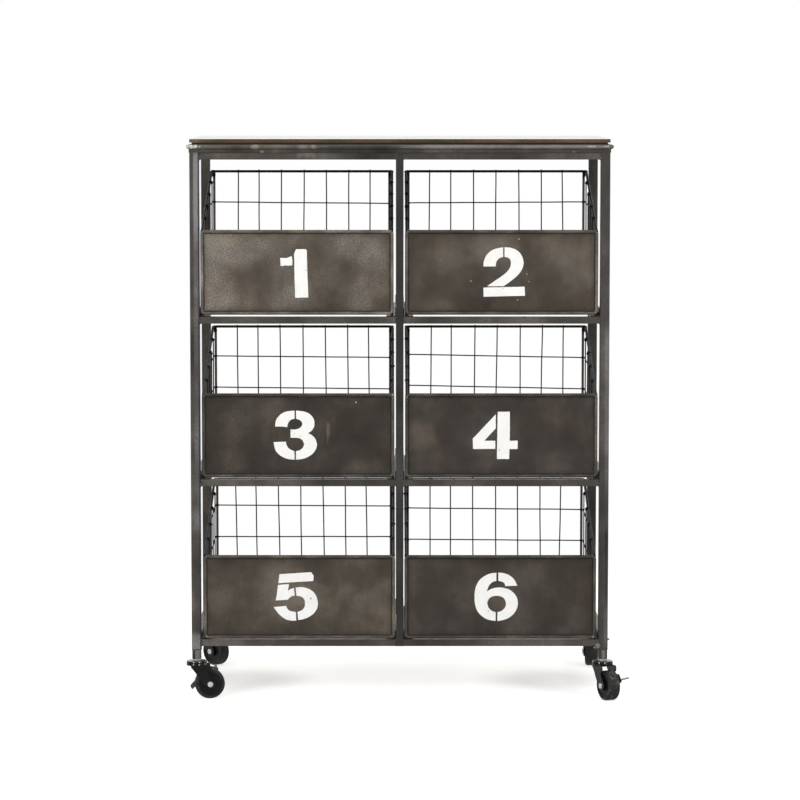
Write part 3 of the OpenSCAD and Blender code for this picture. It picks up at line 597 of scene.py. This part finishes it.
# How light each front frame's rod is. A painted highlight, the right lamp's sheen, makes its right side paler, apart
# from basket 1's, where that strip is darker instead.
ROD_TONES = {1: 1.60, 2: 1.34, 3: 1.10, 4: 1.16, 5: 1.36, 6: 1.18}
frame_rod_mats = {}
for k, tone in ROD_TONES.items():
    cx, cz = panel_centre(k)
    tones = [[v * tone for v in c] for c in ((42, 38, 34), (68, 64, 58), (104, 99, 91))]
    frame_rod_mats[k] = lacquered_steel(
        f"front_rod_{k}", tones, WARM, 24.0 + k,
        light_and_wear_bands=[(cx + 172, cx + 182, cz - 76, cz + 76, 3, 8, 0.10 if k > 1 else -0.06)], cloud=22.0,
    )


def dress(names, mat):
    for name in names:
        o = nodes[name]
        if o.material_slots:
            for s in o.material_slots:
                s.material = mat
        else:
            o.data.materials.append(mat)


dress(["post_front_left"], left_post_steel)
dress(["post_front_right"], right_post_steel)
dress(["post_front_centre"], centre_post_steel)
dress(["post_rear_left", "post_rear_right", "post_rear_centre"], rear_steel)
dress(["rear_rails", "side_rails"], rear_steel)
dress(["front_rails_left", "front_rails_right"], rail_steel)
dress(["basket_runners"], runner_steel)
dress(["stem_sockets"], socket_steel)
dress(["top_moulding"], moulding_steel)
dress(["top_plate"], plate_steel)
dress(["caster_stems"], bright_zinc)
dress(["caster_cups"], cup_black)
for c in CORNERS:
    dress([f"fork_{c}"], black_steel)
    dress([f"pins_{c}"], bright_zinc)
    dress([f"hub_{c}"], wheel_plastic)
    dress([f"tyre_{c}"], worn_rubber if c == "front_right" else tyre_rubber)
    dress([f"brake_{c}"], lever_zinc)
for k in PANELS:
    dress([f"front_panel_{k}"], panel_mats[k])
    dress([f"front_frame_{k}"], frame_rod_mats[k])
    dress([f"basket_frame_{k}"], basket_rods[k])


# Mesh helpers


class Mesh:
    """Gathers tubes and lumps, in millimetres, into one object."""

    def __init__(self):
        self.verts, self.faces = [], []

    def tube(self, path, radius, sides=8, taper=0.0):
        """A closed tube round a path of points. radius is a number or a function of the length along it."""
        path = [Vector(p) for p in path]
        lengths = [0.0]
        for a, b in zip(path, path[1:]):
            lengths.append(lengths[-1] + (b - a).length)
        across = None
        start = len(self.verts)
        for i, p in enumerate(path):
            ahead = path[min(i + 1, len(path) - 1)] - path[max(i - 1, 0)]
            ahead.normalize()
            if across is None:
                across = ahead.orthogonal().normalized()
            across = (across - ahead * across.dot(ahead)).normalized()
            up = ahead.cross(across)
            r = radius(lengths[i], lengths[-1]) if callable(radius) else radius
            if i in (0, len(path) - 1):
                r *= 1 - taper
            for s in range(sides):
                a = 2 * math.pi * s / sides
                self.verts.append(p + across * (r * math.cos(a)) + up * (r * math.sin(a)))
        for i in range(len(path) - 1):
            for s in range(sides):
                a, b = start + i * sides + s, start + i * sides + (s + 1) % sides
                self.faces.append((a, b, b + sides, a + sides))
        self.faces.append(tuple(start + s for s in reversed(range(sides))))
        last = start + (len(path) - 1) * sides
        self.faces.append(tuple(last + s for s in range(sides)))

    def lump(self, centre, radii, seed, detail=2, rough=0.16):
        """A weld lump: a ball with a stretched and uneven skin."""
        bm = bmesh.new()
        bmesh.ops.create_icosphere(bm, subdivisions=detail, radius=1.0)
        start = len(self.verts)
        for v in bm.verts:
            n = noise.noise(v.co * 1.4 + Vector((seed * 3.1, seed * 1.7, seed * 0.7)))
            p = v.co * (1 + rough * 2 * n)
            self.verts.append(Vector(centre) + Vector((p.x * radii[0], p.y * radii[1], p.z * radii[2])))
        for face in bm.faces:
            self.faces.append(tuple(start + v.index for v in face.verts))
        bm.free()

    def make(self, name, mat, body, slot):
        mesh = bpy.data.meshes.new(name)
        mesh.from_pydata([tuple(v * MM) for v in self.verts], [], self.faces)
        mesh.validate()
        mesh.materials.append(mat)
        mesh.shade_smooth()
        mesh.update()
        obj = bpy.data.objects.new(name, mesh)
        scene.collection.objects.link(obj)
        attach(obj, body)
        return obj


def dense(points, step, bend, arc_steps=6):
    """Points along a path at most step apart, with its corners rounded by bend."""
    points = [Vector(p) for p in points]
    out = [points[0]]
    for i in range(1, len(points)):
        a, b = points[i - 1], points[i]
        if bend and i < len(points) - 1:
            back, on = (a - b).normalized(), (points[i + 1] - b).normalized()
            if back.dot(on) > -0.999:
                angle = math.acos(max(-1, min(1, back.dot(on))))
                cut = bend / math.tan(angle / 2)
                p, q = b + back * cut, b + on * cut
                mid = b + (back + on).normalized() * (bend / math.sin(angle / 2))
                arc = [(p - mid).lerp(q - mid, j / arc_steps) for j in range(1, arc_steps)]
                out += [p, *(mid + v.normalized() * bend for v in arc), q]
                continue
        out.append(b)
    fine = [out[0]]
    for a, b in zip(out, out[1:]):
        n = max(1, math.ceil((b - a).length / step))
        fine += [a.lerp(b, j / n) for j in range(1, n + 1)]
    return fine


NOISE_SHIFTS = [Vector((9.321, -1.531, -7.951)), Vector((0, 0, 0)), Vector((6.327, 0.1671, -2.672))]


def noise_at(where):
    """A noise vector, out of three values, because mathutils' own noise_vector isn't the same in each run."""
    return Vector([noise.noise(where + shift) for shift in NOISE_SHIFTS])


def waver(points, amount, seed, length=70.0, still=12.0):
    """Lets a wire run slightly crooked, but not at its ends, where it fades out over the length still."""
    total = sum((b - a).length for a, b in zip(points, points[1:]))
    run, out = 0.0, []
    for i, p in enumerate(points):
        if i:
            run += (p - points[i - 1]).length
        fade = min(1.0, run / still, (total - run) / still)
        n = noise_at(Vector((run / length, seed * 7.3, seed * 1.9)))
        out.append(p + n * amount * fade)
    return out


# Baskets: nets of continuous bent wires, with weld knots where they cross each other and the rods

# Each basket's seven upright back wires, by their x at the rim and at the height given after them, and its level
# wires' heights at the left and right end, from the bottom
WIRES = {
    1: ([-124.1, -83.6, -39.9, 4.7, 48.2, 92.2, 133.5], [-124.5, -83.6, -40.3, 3.9, 48.3, 91.8, 133.5], 146,
        [(78, 76), (139, 136), (200.5, 197.6)]),
    2: ([-129.7, -88.6, -44.0, -0.2, 44.4, 88.5, 129.2], [-130.7, -88.6, -43.8, -0.6, 45.4, 89.2, 131.1], 146,
        [(77, 77), (137, 139), (198.6, 200.5)]),
    3: ([-129.0, -88.5, -45.1, 0.1, 43.9, 87.8, 128.8], [-128.0, -87.9, -43.9, 0.7, 45.5, 88.9, 130.0], 129,
        [(79, 76), (140.8, 137.4), (202.4, 199.4)]),
    4: ([-126.4, -87.3, -40.7, 2.9, 48.1, 91.7, 132.8], [-127.4, -87.5, -41.7, 1.1, 48.1, 89.6, 132.2], 129,
        [(80, 76), (144.4, 137.6), (205.4, 199.2)]),
    5: ([-135.1, -95.2, -51.0, -6.8, 37.2, 80.8, 122.2], [-131.9, -92.9, -48.1, -5.3, 39.7, 82.7, 124.6], 110,
        [(84, 84), (146.2, 146.1), (208.9, 207.1)]),
    6: ([-127.5, -87.3, -43.7, 1.7, 44.7, 89.1, 130.6], [-127.3, -87.1, -42.7, 2.3, 45.9, 90.5, 128.2], 110,
        [(78, 77), (140.8, 138.5), (203.2, 200.0)]),
}
UPRIGHTS, CROSS_WIRES = 7, 4
LONG_PITCH = 44.0
STEP, BEND = 9, 5


def rim_z(y):
    return RIM_BACK_Z - RIM_SLOPE * (RIM_BACK_Y - y)


def make_net(k):
    """Basket k's net and its knots. Each wire and knot has a seed of its own."""
    cx, z0 = basket_place(k)
    rng = random.Random(40 + k)
    net, knots = Mesh(), Mesh()
    tops, lows, low_z, levels = WIRES[k]

    def at(x, y, z):
        return Vector((cx + x, y, z0 + z))

    def wire(points, bend, amount, seed):
        net.tube(waver(dense([at(*p) for p in points], STEP, bend), amount, seed), WIRE_R)

    def up_at(j, z):
        return tops[j] + (lows[j] - tops[j]) * (RIM_BACK_Z - z) / (RIM_BACK_Z - low_z)

    # Upright wires that bend into the basket's floor
    ends = [LONG_PITCH * (j - 3) + rng.uniform(-1.5, 1.5) for j in range(UPRIGHTS)]
    ends[0], ends[-1] = ends[0] + 3, ends[-1] - 3
    for j, end in enumerate(ends):
        top = RIM_BACK_Z + RIM_D / 2 + rng.uniform(0.6, 1.5)
        path = [(up_at(j, top), UP_Y, top), (up_at(j, LONG_Z), UP_Y, LONG_Z), (end, RIM_FRONT_Y + 0.4, LONG_Z)]
        wire(path, BEND, 0.4, k * 11 + j)
        knots.lump(at(tops[j], UP_Y + 1.6, RIM_BACK_Z + rng.uniform(-0.6, 0.8)), (2.1, 1.9, 2.3), k * 31 + j)
        knots.lump(at(end, RIM_FRONT_Y - 0.6, LONG_Z - 0.6), (2.0, 1.4, 1.8), k * 37 + j)
        for za, zb in levels:
            z = za + (zb - za) * (up_at(j, za) + ROD_X) / (2 * ROD_X)
            knots.lump(at(up_at(j, z), (UP_Y + LEVEL_Y) / 2, z), (1.7, 1.5, 1.6), j * 3 + z, 1)

    # Cross wires that come up at both sides
    for i in range(CROSS_WIRES):
        y = RIM_FRONT_Y + (i + 1) * (RIM_BACK_Y - RIM_FRONT_Y) / (CROSS_WIRES + 1) + rng.uniform(-2, 2)
        lean = rng.uniform(-1.5, 1.5)
        tips = [rim_z(y) + RIM_D / 2 + rng.uniform(0.8, 1.5) for _ in range(2)]
        path = [(-UP_X, y + lean, tips[0]), (-UP_X, y, CROSS_Z), (UP_X, y, CROSS_Z), (UP_X, y - lean, tips[1])]
        wire(path, BEND, 0.5, k * 13 + i + 50)
        for s, tip_y in ((-1, y + lean), (1, y - lean)):
            seed = i * 2 + s
            side = rng.uniform(-0.5, 0.7)
            knots.lump(at(s * (RIM_X - 1.0 + side), tip_y, rim_z(tip_y) + 0.7), (4.2, 3.6, 3.0), k * 41 + seed)
            knots.lump(at(s * (UP_X + 0.6), tip_y, rim_z(tip_y) - 0.8), (3.0, 2.8, 3.0), k * 29 + seed)
            knots.lump(at(s * (UP_X + 1.0), y, CROSS_Z - 2.0), (2.6, 2.0, 2.0), k * 43 + seed)
            for za, zb in levels:
                z = (za if s < 0 else zb) - DROP_SLOPE * (RIM_BACK_Y - y)
                if z < rim_z(y) - 8:
                    knots.lump(at(s * (UP_X + LEVEL_X) / 2, y, z), (1.6, 1.9, 1.7), i * 3 + z, 1)
        for j, end in enumerate(ends):
            x = end + (up_at(j, LONG_Z) - end) * (y - RIM_FRONT_Y) / (UP_Y - RIM_FRONT_Y)
            knots.lump(at(x, y, (LONG_Z + CROSS_Z) / 2), (1.7, 1.7, 1.4), i + x, 1)

    # Level wires: one at the back and one at each side, which ends under the sloping rim
    reach = ROD_X - RIM_D / 2
    for j, (za, zb) in enumerate(levels):
        path = [(-reach, LEVEL_Y, za), (0, LEVEL_Y, (za + zb) / 2), (reach, LEVEL_Y, zb)]
        wire(path, 0, 0.4, k * 17 + j + 90)
        for s, z in ((-1, za), (1, zb)):
            y_end = max(RIM_FRONT_Y, RIM_BACK_Y - (RIM_BACK_Z - z - 5.0) / (RIM_SLOPE - DROP_SLOPE))
            path = [(s * LEVEL_X, y_end, z - DROP_SLOPE * (RIM_BACK_Y - y_end)), (s * LEVEL_X, ROD_Y - 2.2, z)]
            wire(path, 0, 0.5, k * 19 + j + s + 120)
            knots.lump(at(s * (ROD_X - 1.5), LEVEL_Y - 0.2, z), (2.4, 2.6, 2.2), k * 47 + j * 2 + s)
            knots.lump(at(s * (LEVEL_X - 0.8), ROD_Y - 2.6, z), (2.0, 2.4, 2.0), k * 53 + j * 2 + s)

    # Welds of the rim and base rods at the corners
    for s in (-1, 1):
        knots.lump(at(s * (ROD_X + 2.6), ROD_Y - 0.5, RIM_BACK_Z - 1.4), (5.4, 3.4, 4.0), k * 59 + s)
        knots.lump(at(s * (ROD_X + 0.6), ROD_Y - 1, RIM_BACK_Z - 7.5), (3.6, 2.8, 4.4), k * 83 + s)
        knots.lump(at(s * ROD_X, ROD_Y, BASE_Z + 2.6), (3.4, 3.0, 2.6), k * 61 + s)
        knots.lump(at(s * RIM_X, RIM_FRONT_Y - 0.8, RIM_FRONT_Z - 0.6), (2.9, 2.4, 3.0), k * 67 + s)
        knots.lump(at(s * RIM_X, RIM_FRONT_Y - 0.8, BASE_Z + 1.2), (2.9, 2.4, 3.2), k * 71 + s)
    body = f"basket_{k}"
    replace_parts(net.make(f"wire_net_{k}", basket_wire, body, "basket_steel"), f"basket_mesh_{k}")
    knots.make(f"weld_knots_{k}", basket_wire, body, "basket_steel")


for k in PANELS:
    make_net(k)


# Seams: a dark tube that closes the slit between each front panel and its rod frame; its dark colour is painted shade
# of the slit

SEAM_HALF_W, SEAM_HALF_H, SEAM_BEND, SEAM_R = 173.35, 72.85, 3.1, 0.85
SEAM_ENDS = -100, -99
for k in PANELS:
    cx, cz = panel_centre(k)
    corners = [(SEAM_ENDS[0], SEAM_HALF_H), (SEAM_HALF_W, SEAM_HALF_H), (SEAM_HALF_W, -SEAM_HALF_H),
               (-SEAM_HALF_W, -SEAM_HALF_H), (-SEAM_HALF_W, SEAM_HALF_H), (SEAM_ENDS[1], SEAM_HALF_H)]
    path = dense([(cx + x, PANEL_Y + 0.45, cz + z) for x, z in corners], 4, SEAM_BEND)
    seam = Mesh()
    seam.tube(waver(path, 0.12, k * 3.3, 30.0), SEAM_R)
    seam.make(f"panel_seam_{k}", seam_painted_shade, f"basket_{k}", "basket_steel")


# Frame welds: uneven beads where the rails meet the posts, and rings at the post feet

BEAD_SIDES, BEAD_STEP, BEAD_BEND, BEAD_OUT = 7, 0.6, 0.8, 0.35
SIDE_RAIL_OUT, SIDE_RAIL_IN = 389, 376
FOOT_R, FOOT_Z, FOOT_STEPS = 8.7, 93.6, 64


def bead_radius(size, seed):
    """The radius along a bead: ripples, slow changes, and thin ends."""
    def radius(run, total):
        ripple = 0.16 * math.sin(run * 2 * math.pi / 1.7 + seed)
        drift = 0.45 * noise.noise(Vector((run / 6.0, seed * 3.7, 0.3)))
        ends = min(1.0, 0.35 + run / 2.5, 0.35 + (total - run) / 2.5)
        return size * (1 + ripple + drift) * ends
    return radius


def bead_round(near, far, z, size, seed):
    """A bead round three sides of a rail's end: down one side, across below and up the other."""
    path = [(*near, z - 1), (*near, z - RAIL_H), (*far, z - RAIL_H), (*far, z - 2)]
    beads.tube(dense(path, BEAD_STEP, BEAD_BEND), bead_radius(size, seed), BEAD_SIDES, 0.5)


beads = Mesh()
seed = 0
for z in RAIL_Z:
    for sy in (-1, 1):
        outer, inner = sy * (POST_Y + 8) - sy * 0.1, sy * (POST_Y - 5)
        for x, size in ((-BAY_OUT, 1.15), (BAY_OUT, 1.15), (-BAY_IN, 0.7), (BAY_IN, 0.7)):
            seed += 1
            x += BEAD_OUT if x in (-BAY_OUT, BAY_IN) else -BEAD_OUT
            bead_round((x, outer), (x, inner), z, size, seed)
    for sx in (-1, 1):
        for sy in (-1, 1):
            seed += 1
            y = sy * (POST_Y - POST_HALF - BEAD_OUT)
            bead_round((sx * SIDE_RAIL_OUT, y), (sx * SIDE_RAIL_IN, y), z, 1.1, seed)
for sx in (-1, 1):
    for sy in (-1, 1):
        seed += 1
        turns = (2 * math.pi * i / FOOT_STEPS for i in range(FOOT_STEPS + 1))
        ring = [(sx * POST_X + FOOT_R * math.cos(a), sy * POST_Y + FOOT_R * math.sin(a), FOOT_Z) for a in turns]
        beads.tube(ring, bead_radius(1.15, seed), BEAD_SIDES, 0.3)
for x, y, z, r in ((364, -203, 101.5, 3.6), (369, -203.2, 104, 3.0), (373, -203.6, 101, 2.6), (-4, -203, 101, 1.8),
                   (8, -203, 711, 2.0), (-371, -203, 101.5, 1.8), (369, -203.2, 711, 1.6), (-369, -203, 408, 1.7)):
    beads.lump((x, y, z), (r, 1.4, r * 0.8), x + z)
beads.make("frame_welds", weld, "rack", "frame_steel")

# The large lump at the lower right front corner, and its drip
blob, drip = Mesh(), Mesh()
blob.lump((371.2, -203.4, 100.4), (5.2, 2.4, 5.4), 5.3, 3, 0.12)
blob.make("weld_blob", blob_weld, "rack", "frame_steel")
drip.lump((365.9, -202.8, 97.4), (2.8, 2.0, 2.0), 8.1)
drip.make("weld_drip", pale_weld, "rack", "frame_steel")

# Bright tacks at a corner of four front frames
for k, x, z, r in ((5, -361.5, 118.2, 1.7), (6, 362.4, 117.0, 1.9), (3, -13.2, 573.4, 1.6), (4, 13.6, 568.6, 1.5)):
    tack = Mesh()
    tack.lump((x, ROD_FACE_Y, z), (r, 1.0, r * 0.8), x + z)
    tack.make(f"rod_tack_{k}", pale_weld, f"basket_{k}", "basket_steel")


# Numerals: a thin coat of paint in the cut outlines of a stencil. Each has its middle in the drawing's own units, its
# place from the panel's centre, and its outlines. A run goes on from the end of the one before: a run of one point
# is straight and a longer one is smooth.

DIGITS = {
    1: (591, 812, -4.9, -2.35, [
        [[(395, 440)], [(470, 412), (525, 387)], [(545, 490), (542, 612)], [(400, 620)], [(372, 604), (345, 624)],
         [(262, 626)], [(250, 432)]],
        [[(862, 222)], [(886, 238), (893, 262)], [(903, 700), (926, 1385)], [(612, 1391)],
         [(597, 900), (586, 345)], [(600, 300), (634, 224)]],
    ]),
    2: (711, 810, 5.0, 1.45, [
        [[(212, 600), (250, 470), (330, 360), (470, 270), (680, 224)], [(680, 456)],
         [(600, 482), (535, 545), (508, 620), (505, 684)], [(208, 684)]],
        [[(880, 240), (1030, 310), (1130, 425), (1174, 590), (1145, 730), (1070, 855), (930, 990), (700, 1160)],
         [(298, 1162)],
         [(480, 1035), (640, 925), (760, 830), (840, 725), (870, 600), (845, 510), (790, 470), (716, 456)],
         [(716, 222)]],
        [[(1202, 1172)], [(1213, 1390)], [(214, 1414)], [(208, 1194)]],
    ]),
    3: (735, 798, -5.5, 0.75, [
        [[(262, 480), (310, 375), (410, 280), (540, 226), (720, 208)], [(720, 404)],
         [(640, 425), (585, 475), (553, 545), (546, 606)], [(400, 592), (250, 592)]],
        [[(890, 218), (1030, 258), (1125, 328), (1185, 425), (1200, 520), (1180, 620), (1120, 700), (1042, 752)],
         [(1130, 795), (1205, 870), (1248, 960), (1256, 1045), (1225, 1150), (1145, 1255), (1010, 1340),
          (880, 1378), (752, 1392)],
         [(752, 1188)], [(850, 1160), (920, 1095), (944, 1015), (918, 935), (850, 880), (745, 862)], [(622, 862)],
         [(622, 662)], [(745, 660), (845, 625), (902, 555), (895, 490), (850, 438), (756, 404)], [(756, 206)]],
        [[(511, 956)], [(528, 1045), (590, 1130), (715, 1186)], [(716, 1392)],
         [(560, 1375), (420, 1320), (310, 1235), (242, 1120), (215, 968)]],
    ]),
    4: (731, 802, -11.6, 0.45, [
        [[(746, 636)], [(472, 934)], [(738, 936)], [(736, 1133)], [(200, 1134)], [(192, 885)], [(746, 298)]],
        [[(1086, 234)], [(1086, 934)], [(1276, 932)], [(1276, 1134)], [(1078, 1136)], [(1074, 1376)],
         [(776, 1376)], [(794, 236)]],
    ]),
    5: (722, 783, -6.9, 0.75, [
        [[(1092, 194)], [(1156, 276)], [(1146, 408)], [(304, 460)], [(332, 244)]],
        [[(562, 482)], [(534, 644)], [(600, 605), (680, 576)], [(696, 762)], [(610, 785), (524, 862)],
         [(240, 880)], [(266, 740), (296, 504)]],
        [[(850, 556), (985, 580), (1115, 645), (1210, 760), (1254, 920), (1238, 1065), (1160, 1190), (1040, 1280),
          (900, 1335), (780, 1356)],
         [(766, 1160)], [(875, 1112), (932, 1035), (946, 930), (918, 840), (850, 785), (740, 766)], [(720, 570)]],
        [[(494, 1012)], [(520, 1080), (590, 1136), (722, 1160)], [(738, 1370)],
         [(600, 1368), (470, 1328), (330, 1225), (250, 1125), (188, 1040)]],
    ]),
    6: (735, 789, -7.3, 0.25, [
        [[(600, 226), (450, 290), (330, 390), (255, 520), (220, 660), (212, 800), (225, 975), (280, 1130),
          (390, 1258), (540, 1345), (722, 1376)],
         [(722, 1166)],
         [(630, 1130), (556, 1060), (522, 960), (542, 865), (605, 800), (700, 770), (800, 770), (890, 805),
          (952, 880), (970, 965), (945, 1055), (870, 1130), (766, 1166)],
         [(766, 1378)],
         [(900, 1356), (1040, 1300), (1150, 1210), (1225, 1095), (1256, 960), (1236, 825), (1170, 710),
          (1060, 622), (940, 580), (820, 564), (700, 576), (600, 608), (508, 664)],
         [(540, 560), (590, 480), (655, 430), (738, 406)], [(738, 208)]],
        [[(900, 216), (1020, 256), (1125, 326), (1190, 410), (1236, 512)], [(1224, 522), (955, 531)],
         [(930, 468), (875, 425), (784, 406)], [(784, 206)]],
    ]),
}
UNITS_PER_PIXEL, TALLER = 24.12, 1.004
PIXEL_MM = (1.8567, 1.8649, 1.8730)  # for the upper, middle and lower baskets
PAINT_FRONT, PAINT_BACK = 0.22, 0.1


def smooth_run(points, steps=7):
    """Points along a run, without its last one."""
    if len(points) == 2:
        a, b = Vector(points[0]), Vector(points[1])
        n = max(2, int((b - a).length / 40))
        return [a.lerp(b, i / n) for i in range(n)]
    p = [Vector(q) for q in points]
    p = [p[0] * 2 - p[1]] + p + [p[-1] * 2 - p[-2]]
    out = []
    for i in range(1, len(p) - 2):
        for s in range(steps):
            t = s / steps
            a, b, c, d = p[i - 1 : i + 3]
            square, cube = 2 * a - 5 * b + 4 * c - d, 3 * b - a - 3 * c + d
            out.append(0.5 * (2 * b + (c - a) * t + square * t * t + cube * t ** 3))
    return out


def numeral(k):
    u0, v0, dx, dz, outlines = DIGITS[k]
    cx, cz = panel_centre(k)
    size = PIXEL_MM[(k - 1) // 2] / UNITS_PER_PIXEL
    verts, faces = [], []
    for runs in outlines:
        ring = []
        for i, run in enumerate(runs):
            for q in smooth_run([runs[i - 1][-1], *run]):
                rough = noise.noise(Vector((q.x / 26, q.y / 26, k * 5.1))) * 0.28
                ring.append((cx + dx + (q.x - u0) * size + rough, cz + dz - (q.y - v0) * size * TALLER + rough * 0.8))
        start, n = len(verts), len(ring)
        for y in (PANEL_Y - PAINT_FRONT, PANEL_Y + PAINT_BACK):
            verts += [(x * MM, y * MM, z * MM) for x, z in ring]
        for tri in tessellate_polygon([[Vector((x, z, 0)) for x, z in ring]]):
            faces.append(tuple(start + i for i in tri))
            faces.append(tuple(start + n + i for i in tri))
        for i in range(n):
            j = (i + 1) % n
            faces.append((start + i, start + j, start + n + j, start + n + i))
    mesh = bpy.data.meshes.new(f"numeral_{k}")
    mesh.from_pydata(verts, [], faces)
    bm = bmesh.new()
    bm.from_mesh(mesh)
    bmesh.ops.recalc_face_normals(bm, faces=bm.faces)
    bm.to_mesh(mesh)
    bm.free()
    mesh.materials.append(paint)
    obj = bpy.data.objects.new(f"numeral_{k}", mesh)
    scene.collection.objects.link(obj)
    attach(obj, f"basket_{k}")


for k in PANELS:
    numeral(k)
